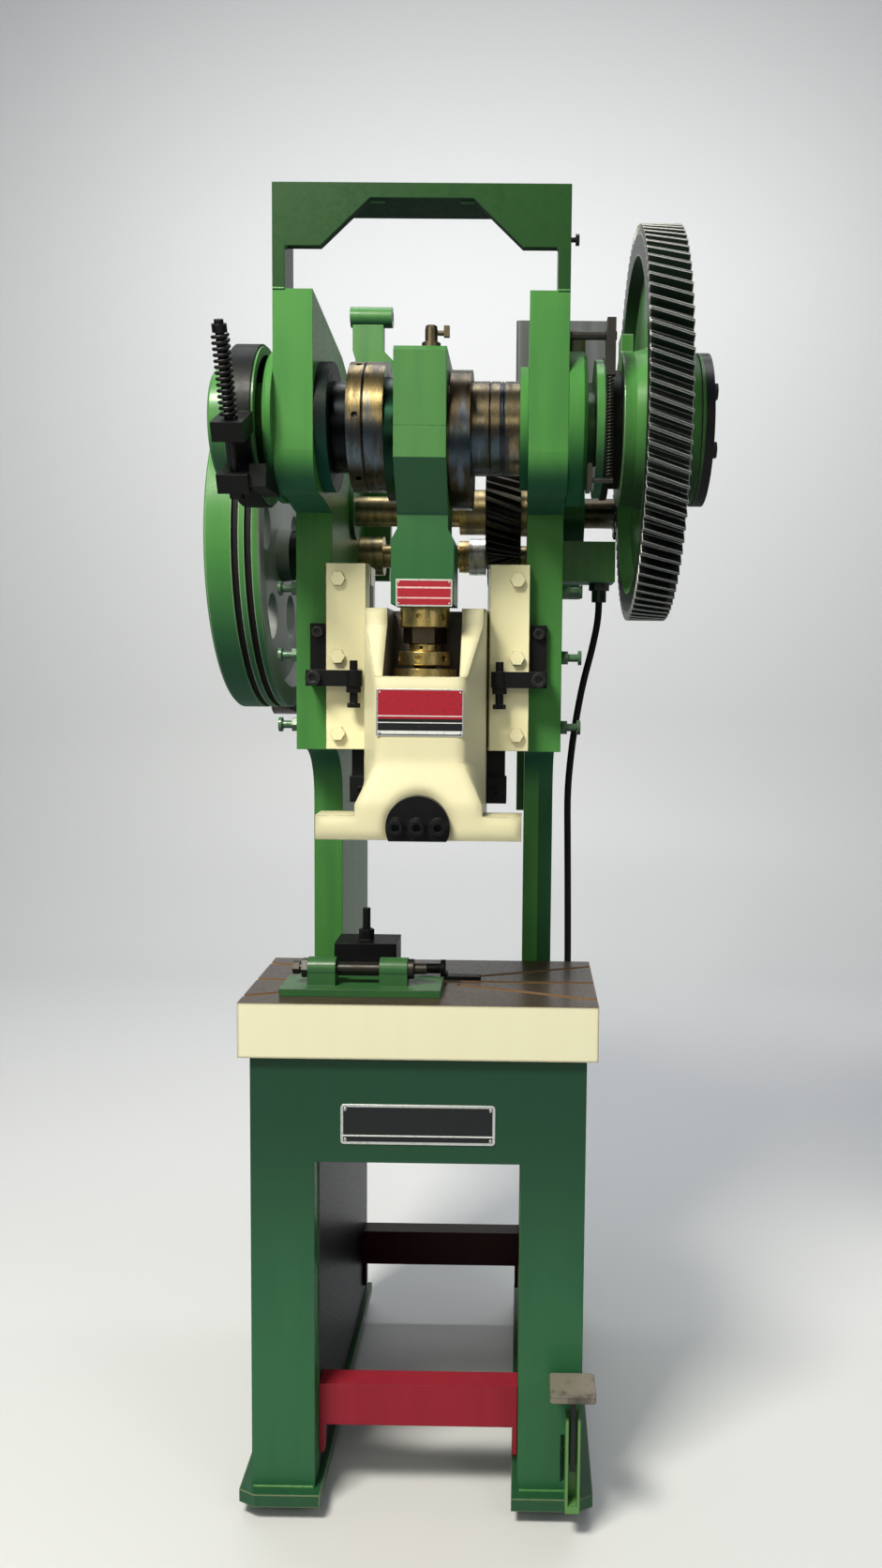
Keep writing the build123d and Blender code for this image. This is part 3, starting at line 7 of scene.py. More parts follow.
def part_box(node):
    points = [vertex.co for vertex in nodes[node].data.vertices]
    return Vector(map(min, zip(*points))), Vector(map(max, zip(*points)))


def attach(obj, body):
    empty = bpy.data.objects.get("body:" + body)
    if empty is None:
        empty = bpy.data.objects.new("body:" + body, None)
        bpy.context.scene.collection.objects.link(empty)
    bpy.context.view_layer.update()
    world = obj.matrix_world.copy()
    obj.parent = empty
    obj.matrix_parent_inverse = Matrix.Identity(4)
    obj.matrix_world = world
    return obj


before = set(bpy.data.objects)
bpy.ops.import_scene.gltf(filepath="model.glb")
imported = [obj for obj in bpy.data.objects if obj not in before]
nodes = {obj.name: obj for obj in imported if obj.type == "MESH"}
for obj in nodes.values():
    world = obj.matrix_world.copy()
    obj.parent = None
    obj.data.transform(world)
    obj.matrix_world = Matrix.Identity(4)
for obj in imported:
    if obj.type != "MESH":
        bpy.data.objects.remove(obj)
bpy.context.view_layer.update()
scene = bpy.context.scene


# Feet: two flat plates sawn from thick steel, welded under the stand and bolted to the floor.
# They wear a darker gloss green than the frame, and their rims are scuffed to the primer.
def new_group(name, inputs, outputs):
    """Empty node group: inputs as (label, kind, value), outputs as (label, kind)."""
    tree = bpy.data.node_groups.new(name, "ShaderNodeTree")
    for label, kind, value in inputs:
        socket = tree.interface.new_socket(label, in_out="INPUT", socket_type=kind)
        if value is not None:
            socket.default_value = value
    for label, kind in outputs:
        tree.interface.new_socket(label, in_out="OUTPUT", socket_type=kind)
    return tree, tree.nodes.new("NodeGroupInput").outputs, tree.nodes.new("NodeGroupOutput").inputs


def give(tree, socket, value):
    """Link a socket to another, or set a constant value on it."""
    if isinstance(value, bpy.types.NodeSocket):
        tree.links.new(value, socket)
    else:
        socket.default_value = value


def add(tree, kind, inputs=None, **settings):
    """Node with its settings, and its inputs given as sockets or values."""
    node = tree.nodes.new(kind)
    for key, value in settings.items():
        setattr(node, key, value)
    for key, value in (inputs or {}).items():
        give(tree, node.inputs[key], value)
    return node


def noise(tree, vector, scale, detail=4.0, rough=0.55):
    """Noise value between 0 and 1 at a scale in waves per metre."""
    node = add(tree, "ShaderNodeTexNoise",
               {"Vector": vector, "Scale": scale, "Detail": detail, "Roughness": rough})
    return node.outputs["Fac"]


def ramp(tree, value, low, high):
    """Smooth step of a value: 0 at low, 1 at high."""
    node = add(tree, "ShaderNodeMapRange", {"Value": value, "From Min": low, "From Max": high},
               interpolation_type="SMOOTHSTEP")
    return node.outputs["Result"]


def mix(tree, factor, a, b):
    """Colour a where the factor is 0 and b where it is 1."""
    return add(tree, "ShaderNodeMix", {0: factor, 6: a, 7: b}, data_type="RGBA").outputs[2]


def maths(tree, operation, a, b):
    """One arithmetic step on two numbers."""
    return add(tree, "ShaderNodeMath", {0: a, 1: b}, operation=operation).outputs[0]


def vector_maths(tree, operation, a, b=(0.0, 0.0, 0.0)):
    """One arithmetic step on two vectors."""
    return add(tree, "ShaderNodeVectorMath", {0: a, 1: b}, operation=operation)


def stretched(tree, factors):
    """Object coordinates scaled along each axis."""
    coords = add(tree, "ShaderNodeTexCoord").outputs["Object"]
    return vector_maths(tree, "MULTIPLY", coords, factors).outputs[0]


# The edge group rounds the shading of sharp corners and finds them, broken up by noise.
edge, given, out = new_group(
    "edge",
    [("Radius", "NodeSocketFloat", 0.002), ("Wear", "NodeSocketFloat", 0.5),
     ("Round", "NodeSocketFloat", 0.002)],
    [("Mask", "NodeSocketFloat"), ("Normal", "NodeSocketVector")])
bevel_samples = 4
flat_cosine, sharp_cosine = 0.985, 0.80
chip_scale, chip_from, chip_full = 55.0, 0.62, 0.74
bevel = add(edge, "ShaderNodeBevel", {"Radius": given["Radius"]}, samples=bevel_samples).outputs[0]
flat_normal = add(edge, "ShaderNodeNewGeometry").outputs["Normal"]
cosine = vector_maths(edge, "DOT_PRODUCT", bevel, flat_normal).outputs["Value"]
sharp = ramp(edge, cosine, flat_cosine, sharp_cosine)
spots = noise(edge, stretched(edge, (1, 1, 1)), chip_scale, 5.0, 0.65)
broken = maths(edge, "ADD", spots, maths(edge, "MULTIPLY", given["Wear"], 0.5))
chips = ramp(edge, broken, chip_from, chip_full)
give(edge, out["Mask"], maths(edge, "MULTIPLY", sharp, chips))
softened = add(edge, "ShaderNodeBevel", {"Radius": given["Round"]}, samples=bevel_samples)
give(edge, out["Normal"], softened.outputs[0])

# The coat group is paint: slow changes of tone, streaks that run down and small specks. Faces that
# look down get painted shade, a darker tone, with less gloss.
coat, given, out = new_group(
    "coat",
    [("Colour", "NodeSocketColor", (0.05, 0.18, 0.06, 1)),
     ("Dark", "NodeSocketColor", (0.01, 0.04, 0.02, 1)), ("Dirt", "NodeSocketFloat", 0.3)],
    [("Colour", "NodeSocketColor"), ("Rough", "NodeSocketFloat"), ("Height", "NodeSocketFloat"),
     ("Gloss", "NodeSocketFloat")])
slow_scale, fine_scale, speck_scale = 3.2, 140.0, 420.0
streak_stretch = (34, 34, 2.2)
dirty_tone, clean_tone = 0.13, 0.31
speck_from, speck_full = 0.72, 0.80
side_facing, down_facing = 0.05, -0.9
down_shade, under_dull, under_rough = 0.85, 0.9, 2.0
facing = add(coat, "ShaderNodeTexCoord").outputs["Normal"]
upward = add(coat, "ShaderNodeSeparateXYZ", {0: facing}).outputs["Z"]
under = ramp(coat, upward, side_facing, down_facing)
slow = noise(coat, stretched(coat, (1, 1, 1)), slow_scale, 3.0)
streak = noise(coat, stretched(coat, streak_stretch), 1.0, 3.0)
fine = noise(coat, stretched(coat, (1, 1, 1)), fine_scale, 3.0, 0.6)
speck = noise(coat, stretched(coat, (1, 1, 1)), speck_scale, 1.0)
clean = ramp(coat, maths(coat, "MULTIPLY", slow, streak), dirty_tone, clean_tone)
streaks = maths(coat, "MULTIPLY", maths(coat, "SUBTRACT", 1.0, clean), given["Dirt"])
specks = maths(coat, "MULTIPLY", ramp(coat, speck, speck_from, speck_full), given["Dirt"])
tone = mix(coat, streaks, given["Colour"], given["Dark"])
tone = mix(coat, specks, tone, given["Dark"])
# Painted shade: faces that look down are mixed towards the dark tone.
shade = maths(coat, "MULTIPLY", under, down_shade)
give(coat, out["Colour"], mix(coat, shade, tone, given["Dark"]))
give(coat, out["Gloss"], maths(coat, "SUBTRACT", 1.0, maths(coat, "MULTIPLY", under, under_dull)))
give(coat, out["Height"], fine)
dust = maths(coat, "MULTIPLY", under, under_rough)
give(coat, out["Rough"], maths(coat, "ADD", ramp(coat, fine, 0.2, 0.9), dust))

# The zone group is 1 inside a box of object coordinates and fades to 0 over a soft margin.
zone, given, out = new_group(
    "zone",
    [("Centre", "NodeSocketVector", None), ("Half", "NodeSocketVector", None),
     ("Soft", "NodeSocketVector", None)],
    [("Mask", "NodeSocketFloat")])
away = vector_maths(zone, "SUBTRACT", stretched(zone, (1, 1, 1)), given["Centre"]).outputs[0]
away = vector_maths(zone, "ABSOLUTE", away).outputs[0]
beyond = vector_maths(zone, "SUBTRACT", away, given["Half"]).outputs[0]
beyond = vector_maths(zone, "DIVIDE", beyond, given["Soft"]).outputs[0]
split = add(zone, "ShaderNodeSeparateXYZ", {0: beyond}).outputs
furthest = maths(zone, "MAXIMUM", maths(zone, "MAXIMUM", split["X"], split["Y"]), split["Z"])
give(zone, out["Mask"], ramp(zone, furthest, 1.0, 0.0))


def in_zones(tree, colour, zones):
    """Colour that changes inside boxes: (low corner, high corner, colour, soft margin)."""
    value = colour if isinstance(colour, bpy.types.NodeSocket) else (*colour, 1)
    for low, high, other, soft in zones:
        z = add(tree, "ShaderNodeGroup", node_tree=zone)
        z.inputs["Centre"].default_value = [(a + b) / 2 for a, b in zip(low, high)]
        z.inputs["Half"].default_value = [(b - a) / 2 for a, b in zip(low, high)]
        z.inputs["Soft"].default_value = soft if isinstance(soft, tuple) else (soft, soft, soft)
        value = mix(tree, z.outputs["Mask"], value, (*other, 1))
    return value


def new_material(name):
    """Empty node material with its tree and its shader."""
    material = bpy.data.materials.new(name)
    material.use_nodes = True
    return material, material.node_tree, material.node_tree.nodes["Principled BSDF"]


def painted_material(name, colour, dark, chip, rough, dirt, wear, chip_width=0.0022,
                     rounding=0.0022, lacquer=0.35, specular=0.4, zones=()):
    """Gloss paint over metal: dirty tone with painted shade on faces that look down, chipped
    edges and slight waves in the surface.

    Roughness is rough + 0.16 times the coat's own, and the waves are a 5% bump of 2 mm.
    """
    coat_rough, wave_strength, wave_height, lacquer_rough = 0.16, 0.05, 0.002, 0.12
    material, tree, shader = new_material(name)
    e = add(tree, "ShaderNodeGroup", node_tree=edge)
    e.inputs["Radius"].default_value = chip_width
    e.inputs["Round"].default_value = rounding
    e.inputs["Wear"].default_value = wear
    c = add(tree, "ShaderNodeGroup", node_tree=coat)
    give(tree, c.inputs["Colour"], in_zones(tree, colour, zones))
    c.inputs["Dark"].default_value = (*dark, 1)
    c.inputs["Dirt"].default_value = dirt
    give(tree, shader.inputs["Base Color"],
         mix(tree, e.outputs["Mask"], c.outputs["Colour"], (*chip, 1)))
    lift = maths(tree, "MULTIPLY", c.outputs["Rough"], coat_rough)
    give(tree, shader.inputs["Roughness"], maths(tree, "ADD", lift, rough))
    waves = add(tree, "ShaderNodeBump",
                {"Height": c.outputs["Height"], "Normal": e.outputs["Normal"],
                 "Strength": wave_strength, "Distance": wave_height})
    give(tree, shader.inputs["Normal"], waves.outputs[0])
    give(tree, shader.inputs["Coat Weight"], maths(tree, "MULTIPLY", c.outputs["Gloss"], lacquer))
    shader.inputs["Specular IOR Level"].default_value = specular
    shader.inputs["Coat Roughness"].default_value = lacquer_rough
    return material


def dress(material, *names):
    """Give CAD nodes one material."""
    for name in names:
        nodes[name].data.materials.clear()
        nodes[name].data.materials.append(material)


green_dark = (0.004, 0.046, 0.032)
primer = (0.30, 0.33, 0.17)
feet = painted_material(
    "feet", colour=(0.018, 0.086, 0.036), dark=green_dark, chip=primer, rough=0.28, dirt=0.25,
    wear=0.95, chip_width=0.0035, lacquer=0.1, specular=0.2)
dress(feet, "foot_plates")


# Pads: four blocks of moulded black rubber under the feet, which keep the press from walking.
# They hold by weight and friction alone, and their faces are dull and dusty.
chipped = (0.03, 0.035, 0.03)
rubber = painted_material(
    "rubber", colour=(0.008, 0.008, 0.009), dark=(0.010, 0.010, 0.009), chip=chipped, rough=0.60,
    dirt=0.3, wear=0.0, lacquer=0.0, specular=0.12)
dress(rubber, "rubber_pads")


# Side plates: two tall cheeks burnt out of thick steel plate, which carry everything above.
# They are brushed in glossy green. Their inner faces below the table carry painted shade and
# are almost black, most of all near the floor, and the right column has painted shade just
# above the table.
green_tone = (0.055, 0.190, 0.044)
# Painted shade on the right column above the table, and on the inner faces, darkest near the floor.
column_shade = ((0.2, -0.4, 0.9), (0.4, 0.0, 1.22), (0.020, 0.080, 0.028), (0.0003, 0.0003, 0.08))
inner_face_shade = ((-0.1724, -0.4, -0.1), (0.1724, 0.4, 0.86), (0.026, 0.020, 0.020), 0.0003)
inner_floor_shade = ((-0.1724, -0.4, -0.1), (0.1724, 0.4, 0.25), (0.003, 0.001, 0.002),
               (0.0003, 0.0003, 0.28))
plates = painted_material(
    "plates", colour=green_tone, dark=green_dark, chip=chipped, rough=0.30, dirt=0.20, wear=0.3,
    lacquer=0.0, specular=0.12, zones=[column_shade, inner_face_shade, inner_floor_shade])
dress(plates, "side_plate_right", "side_plate_left")


# Bearing housings: cast rings, turned and bored for the crank, outside and inside the cheeks'
# heads. They are painted green, and the ring that faces the crank on the left is bare and black.
bare_ring = ((-0.1724, -0.4, 1.7), (-0.14, 0.0, 2.0), (0.006, 0.007, 0.007), 0.0003)
bearings = painted_material(
    "bearings", colour=green_tone, dark=green_dark, chip=chipped, rough=0.36, dirt=0.20, wear=0.3,
    lacquer=0.0, specular=0.05, zones=[bare_ring])
dress(bearings, "bearing_housings")


# Rear frame: webs of plate and the motor's shelf welded across the rear, a bracket arm with a
# short cross tube, the starter's arm, and the flanges that hold the drive shafts' bushes.
green = painted_material(
    "green", colour=green_tone, dark=green_dark, chip=chipped, rough=0.30, dirt=0.20, wear=0.3,
    lacquer=0.10, specular=0.3)
dress(green, "rear_webs", "rear_arms", "shaft_flanges")


# Cross rails: two flat bars welded between the cheeks near the floor. The front one is a clean
# signal red, and the rear one, in the dark of the stand, is red darkened almost to black by
# painted shade.
# Painted shade on the rear rail, in the dark of the stand.
rear_rail_shade = ((-0.2, 0.2, 0.0), (0.2, 0.4, 0.3), (0.025, 0.002, 0.004), 0.001)
red = painted_material(
    "red", colour=(0.30, 0.018, 0.034), dark=(0.06, 0.004, 0.008), chip=(0.05, 0.02, 0.02),
    rough=0.26, dirt=0.12, wear=0.3, lacquer=0.0, specular=0.12, zones=[rear_rail_shade])
dress(red, "cross_rails")


# Stand panel: one steel sheet closes the front of the stand, welded to the feet at its bottom
# corners. Its darker, bluer green is a shaded copy of the frame's, painted shade, and a painted
# shadow of the table's overhang darkens its upper part.
# Painted shadow of the table on the panel's upper part; the panel's whole green is a shaded copy.
table_shadow = ((-0.4, -0.5, 0.74), (0.4, 0.0, 1.0), (0.010, 0.052, 0.026), (0.0003, 0.0003, 0.5))
stand_shaded_green = painted_material(
    "stand_shaded_green", colour=(0.026, 0.128, 0.052), dark=(0.006, 0.050, 0.034), chip=chipped,
    rough=0.30, dirt=0.15, wear=0.3, lacquer=0.08, specular=0.2, zones=[table_shadow])
dress(stand_shaded_green, "stand_panel")


def ring_faces(rings, count):
    """Quads between neighbouring closed rings: point j of ring i is vertex i count + j."""
    start = np.arange(rings - 1)[:, None] * count
    here = start + np.arange(count)
    after = start + (np.arange(count) + 1) % count
    return np.stack([here, after, after + count, here + count], axis=-1).reshape(-1, 4).tolist()


def surface(name, verts, faces, material, body, smooth=True):
    """Mesh object that rides on a CAD body."""
    mesh = bpy.data.meshes.new(name)
    mesh.from_pydata(verts.reshape(-1, 3).tolist(), [], faces)
    if smooth:
        mesh.shade_smooth()
    mesh.update()
    piece = bpy.data.objects.new(name, mesh)
    scene.collection.objects.link(piece)
    mesh.materials.append(material)
    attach(piece, body)
    return piece


def weld(name, start, end, radius):
    """Weld bead: rings of radius r carried along a line, with s the distance from its start.

    r = R (0.9 + 0.16 |sin(pi s / 5 mm)| + 0.05 sin(311 s)), so the bead ripples as it was laid.
    """
    sides, ring_step, ripple = 8, 0.0016, 0.005
    start, end = np.array(start, float), np.array(end, float)
    length = np.linalg.norm(end - start)
    along = (end - start) / length
    side = np.cross(along, (0.31, 0.42, 0.85))
    side /= np.linalg.norm(side)
    other = np.cross(along, side)
    s = np.arange(int(length / ring_step) + 1) * ring_step
    swell = radius * (0.9 + 0.16 * np.abs(np.sin(math.pi * s / ripple)) + 0.05 * np.sin(311.0 * s))
    turn = np.linspace(0, 2 * math.pi, sides, endpoint=False)
    spokes = np.outer(np.cos(turn), side) + np.outer(np.sin(turn), other)
    verts = start + s[:, None, None] * along + swell[:, None, None] * spokes
    last = (len(s) - 1) * sides
    faces = ring_faces(len(s), sides)
    faces += [list(range(sides))[::-1], list(range(last, last + sides))]
    surface(name, verts, faces, green, "frame")


panel_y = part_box("stand_panel")[0].y
foot_top, leg_inside, leg_outside, stand_bead = 0.0485, 0.176, 0.281, 0.0030
for sign, label in ((-1, "left"), (1, "right")):
    weld("stand_weld_" + label, (sign * leg_inside, panel_y, foot_top),
         (sign * leg_outside, panel_y, foot_top), stand_bead)


# Stand nameplate: a sheet of black enamelled metal with a bright rim and one bright rule, left
# blank, held to the panel by four steel rivets.
turned, given, out = new_group(
    "turned",
    [("Base", "NodeSocketColor", (0.3, 0.3, 0.3, 1)),
     ("Stain", "NodeSocketColor", (0.1, 0.08, 0.05, 1)),
     ("Bloom", "NodeSocketColor", (0.1, 0.12, 0.16, 1)), ("Amount", "NodeSocketFloat", 0.6)],
    [("Colour", "NodeSocketColor"), ("Rough", "NodeSocketFloat"), ("Height", "NodeSocketFloat")])
ring_stretch, band_stretch, patch_stretch = (900, 6, 6), (42, 9, 9), (48, 13, 13)
stain_from, stain_full = 0.42, 0.66
bloom_from, bloom_full = 0.50, 0.72
rings = noise(turned, stretched(turned, ring_stretch), 1.0, 2.0)
bands = noise(turned, stretched(turned, band_stretch), 1.0, 4.0)
patches = noise(turned, stretched(turned, patch_stretch), 1.0, 5.0, 0.7)
stains = maths(turned, "MULTIPLY", ramp(turned, patches, stain_from, stain_full), given["Amount"])
blooms = maths(turned, "MULTIPLY", ramp(turned, bands, bloom_from, bloom_full), given["Amount"])
tone = mix(turned, stains, given["Base"], given["Stain"])
give(turned, out["Colour"], mix(turned, blooms, tone, given["Bloom"]))
give(turned, out["Rough"], ramp(turned, patches, 0.25, 0.75))
give(turned, out["Height"], rings)


def metal_material(name, base, stain, bloom, amount, rough, metallic=1.0, zones=(), over=()):
    """Bare metal: fine turning rings along X, stains of two colours, and 1 mm rounded edges.

    Zones change the metal under the stains, and the boxes of over lie on top of them.
    """
    edge_radius, stain_rough, groove_strength, groove_depth = 0.001, 0.2, 0.06, 0.001
    material, tree, shader = new_material(name)
    e = add(tree, "ShaderNodeGroup", node_tree=edge)
    e.inputs["Radius"].default_value = edge_radius
    e.inputs["Round"].default_value = edge_radius
    t = add(tree, "ShaderNodeGroup", node_tree=turned)
    give(tree, t.inputs["Base"], in_zones(tree, base, zones))
    t.inputs["Stain"].default_value = (*stain, 1)
    t.inputs["Bloom"].default_value = (*bloom, 1)
    t.inputs["Amount"].default_value = amount
    give(tree, shader.inputs["Base Color"], in_zones(tree, t.outputs["Colour"], over))
    lift = maths(tree, "MULTIPLY", t.outputs["Rough"], stain_rough)
    give(tree, shader.inputs["Roughness"], maths(tree, "ADD", lift, rough))
    shader.inputs["Metallic"].default_value = metallic
    grooves = add(tree, "ShaderNodeBump",
                  {"Height": t.outputs["Height"], "Normal": e.outputs["Normal"],
                   "Strength": groove_strength, "Distance": groove_depth})
    give(tree, shader.inputs["Normal"], grooves.outputs[0])
    return material


def plate_material(name, fields, rim):
    """Enamelled sheet: level fields as (top edge, colour) and a metal rim, both in UV.

    A point takes the colour of the last field whose top edge lies above it.
    """
    material, tree, shader = new_material(name)
    uv = add(tree, "ShaderNodeSeparateXYZ", {0: add(tree, "ShaderNodeUVMap").outputs[0]}).outputs
    colour = (*fields[0][1], 1)
    for top, shade in fields[1:]:
        colour = mix(tree, maths(tree, "LESS_THAN", uv["Y"], top), colour, (*shade, 1))
    across = maths(tree, "ABSOLUTE", maths(tree, "SUBTRACT", uv["X"], 0.5), 0.0)
    along = maths(tree, "ABSOLUTE", maths(tree, "SUBTRACT", uv["Y"], 0.5), 0.0)
    at_rim = maths(tree, "MAXIMUM", maths(tree, "GREATER_THAN", across, 0.5 - rim[0]),
                   maths(tree, "GREATER_THAN", along, 0.5 - rim[1]))
    smudge_scale, smudge_tone, rim_metal = 160.0, (0.02, 0.02, 0.02, 1), 0.85
    dull = noise(tree, stretched(tree, (1, 1, 1)), smudge_scale)
    smudges = maths(tree, "MULTIPLY", ramp(tree, dull, 0.5, 0.75), 0.35)
    colour = mix(tree, at_rim, colour, (*silver, 1))
    give(tree, shader.inputs["Base Color"], mix(tree, smudges, colour, smudge_tone))
    shader.inputs["Specular IOR Level"].default_value = 0.25
    give(tree, shader.inputs["Metallic"], maths(tree, "MULTIPLY", at_rim, rim_metal))
    give(tree, shader.inputs["Roughness"],
         maths(tree, "ADD", maths(tree, "MULTIPLY", dull, 0.2), 0.25))
    return material


def plate(name, centre, half_w, half_h, thick, corner, material, body):
    """Sheet that stands on the plane of its centre and faces the operator, with a rounded rim.

    It is a stack of rounded rectangles: a point at the angle a of a corner lies at
    (s (half width - c) + c cos a, t (half height - c) + c sin a), with c the corner radius and
    s, t the signs of its quarter. The rings run from the back to the front, where depth and
    inset follow a quarter circle, d = T - r + r sin b and e = r (1 - cos b), and the last ring
    closes on the middle.
    """
    count = 5
    round_r = min(thick * 0.6, 0.0012)
    b = np.linspace(math.pi / 8, math.pi / 2, 4)
    depth = np.concatenate([[0.0, thick - round_r], thick - round_r + round_r * np.sin(b), [thick]])
    inset = np.concatenate([[0.0, 0.0], round_r * (1 - np.cos(b)), [corner * 0.8]])[:, None]
    c = np.maximum(corner - inset, 0.0002)
    a = (math.pi / 2 * (np.arange(4)[:, None] + np.arange(count) / (count - 1))).ravel()
    s, t = np.repeat((1, -1, -1, 1), count), np.repeat((1, 1, -1, -1), count)
    u = s * (half_w - inset - c) + c * np.cos(a)
    v = t * (half_h - inset - c) + c * np.sin(a)
    x, y, z = centre
    verts = np.stack([x + u, y - depth[:, None] + 0 * u, z + v], axis=-1)
    rows, columns = u.shape
    faces = ring_faces(rows, columns)
    faces += [list(range((rows - 1) * columns, rows * columns)), list(range(columns))[::-1]]
    piece = surface(name, verts, faces, material, body, smooth=False)
    uv = np.stack([u / (2 * half_w) + 0.5, v / (2 * half_h) + 0.5], axis=-1).reshape(-1, 2)
    corners = np.empty(len(piece.data.loops), np.int32)
    piece.data.loops.foreach_get("vertex_index", corners)
    piece.data.uv_layers.new(name="UVMap").data.foreach_set("uv", uv[corners].ravel())


def rivets(name, centre, half_w, half_h, radius, body):
    """Four rivet heads at the corners of a rectangle, each a low dome that faces the operator.

    A dome point is (r cos a cos b, -h sin a, r cos a sin b), with a from 0 towards a quarter
    turn, b round the head, and a height h of 0.6 r.
    """
    sides, levels = 14, 4
    height = radius * 0.6
    a = (math.pi / 2 * np.arange(levels) / levels)[:, None]
    b = 2 * math.pi * np.arange(sides) / sides
    dome = np.stack([radius * np.cos(a) * np.cos(b), -height * np.sin(a) + 0 * b,
                     radius * np.cos(a) * np.sin(b)], axis=-1).reshape(-1, 3)
    dome = np.vstack([dome, (0.0, -height, 0.0)])
    top = (levels - 1) * sides
    j = np.arange(sides)
    cap = np.stack([top + j, top + (j + 1) % sides, 0 * j + levels * sides], axis=-1)
    places = np.array([(u * half_w, 0.0, v * half_h) for u in (-1, 1) for v in (-1, 1)]) + centre
    verts = places[:, None, :] + dome
    shell = np.array(ring_faces(levels, sides))
    faces = []
    for start in range(0, len(places) * len(dome), len(dome)):
        faces += (shell + start).tolist() + (cap + start).tolist()
    surface(name, verts, faces, steel, body)


silver = (0.62, 0.64, 0.64)
field_black = (0.010, 0.012, 0.014)
steel = metal_material(
    "steel", base=(0.50, 0.49, 0.46), stain=(0.18, 0.15, 0.11), bloom=(0.22, 0.23, 0.25),
    amount=0.6, rough=0.26)
stand_print = plate_material("stand_print",
                             [(1.0, field_black), (0.24, silver), (0.20, field_black)],
                             rim=(0.018, 0.07))
stand_plate_z, stand_plate_t = 0.6905, 0.002
plate("stand_plate", (0.0, panel_y, stand_plate_z), 0.130, 0.0345, stand_plate_t, 0.006,
      stand_print, "frame")
rivets("stand_rivets", (0.0, panel_y - stand_plate_t, stand_plate_z), 0.122, 0.026, 0.0032, "frame")


# Bolster table: a thick planed casting bolted on the stand. Its rims are cream paint with worn
# arrises. Its top is bare steel gone brown, and gold-brown oil lines the slots and the edges.
table_top = 0.898
cream_dark = (0.40, 0.31, 0.16)
oil_gold = (0.28, 0.16, 0.06)
bare_top = ((-0.31, -0.35, table_top - 0.0004), (0.31, 0.0, 1.0), (0.046, 0.032, 0.024), 0.0002)
slot_walls = ((-0.2996, -0.3396, 0.80), (0.2996, -0.0334, table_top - 0.0006), oil_gold, 0.0002)
table = painted_material(
    "table", colour=(0.735, 0.715, 0.510), dark=cream_dark, chip=(0.12, 0.07, 0.05), rough=0.30,
    dirt=0.03, wear=0.8, chip_width=0.007, lacquer=0.1, specular=0.25, zones=[bare_top, slot_walls])
dress(table, "bolster_table")


# Crown: a portal burnt out of plate that ties the heads of the cheeks together, in a darker
# green than theirs. Short weld beads hold its posts, and a long one runs along each haunch.
crown_green = painted_material(
    "crown_green", colour=(0.012, 0.048, 0.012), dark=(0.003, 0.020, 0.012), chip=chipped,
    rough=0.30, dirt=0.20, wear=0.3, lacquer=0.02, specular=0.12)
dress(crown_green, "crown_portal")
head_top, haunch_foot, haunch_top = 2.050, 2.1160, 2.1898
post_inside, post_outside, post_side = 0.216, 0.2355, 0.2162
post_front, post_back, haunch_y = -0.3398, -0.272, -0.3235
thin_bead, thick_bead = 0.0022, 0.0025
for sign, label in ((-1, "left"), (1, "right")):
    weld("crown_weld_" + label, (sign * post_outside, post_front, head_top),
         (sign * post_inside, post_front, head_top), thin_bead)
    weld("crown_side_weld_" + label, (sign * post_side, -0.339, head_top),
         (sign * post_side, post_back, head_top), thick_bead)
    weld("haunch_weld_" + label, (sign * post_side, -0.3395, haunch_foot),
         (sign * post_side, -0.3255, haunch_foot), thick_bead)
    weld("haunch_top_weld_" + label, (sign * 0.060, haunch_y, haunch_top),
         (sign * 0.214, haunch_y, haunch_top), thick_bead)


# Guides: cream bars bolted on seats inside the cheeks, between which the ram slides. They are
# planed from bar, painted on their outer faces and kept in gauge by the screws behind them.
cream_tone = (0.800, 0.755, 0.475)
cream_chip = (0.16, 0.11, 0.07)
cream = painted_material(
    "cream", colour=cream_tone, dark=cream_dark, chip=cream_chip, rough=0.28, dirt=0.05, wear=0.4)
dress(cream, "guide_seats", "guide_bars")


# Screws of the frame: black hexagon heads and set screws with lock nuts. The set screws of the
# gibs outside both cheeks were painted over in green, and one grease plug is bare brass.
screw_tone = (0.050, 0.150, 0.065)
gib_screws_right = ((0.236, -0.2, 1.3), (0.3, 0.0, 1.65), screw_tone, 0.0005)
gib_screws_left = ((-0.3, -0.2, 1.3), (-0.236, 0.0, 1.65), screw_tone, 0.0005)
grease_plug = ((0.236, -0.27, 1.96), (0.3, -0.2, 2.03), (0.30, 0.22, 0.13), 0.0005)
screws = painted_material(
    "screws", colour=(0.006, 0.007, 0.008), dark=(0.003, 0.003, 0.003), chip=(0.09, 0.09, 0.09),
    rough=0.30, dirt=0.4, wear=0.35, chip_width=0.0012,
    zones=[gib_screws_right, gib_screws_left, grease_plug])
dress(screws, "frame_screws")


# Knock-out brackets: two angles of steel bar, bolted to the cheeks beside the ram, each with a
# screw in it. They are painted black and worn at the arrises.
black_tone = (0.0050, 0.0056, 0.0065)
black_dark = (0.002, 0.002, 0.002)
black_chip = (0.07, 0.07, 0.07)
black = painted_material(
    "black", colour=black_tone, dark=black_dark, chip=black_chip, rough=0.38, dirt=0.4, wear=0.30,
    chip_width=0.0012, lacquer=0.02, specular=0.14)
dress(black, "knockout_brackets")
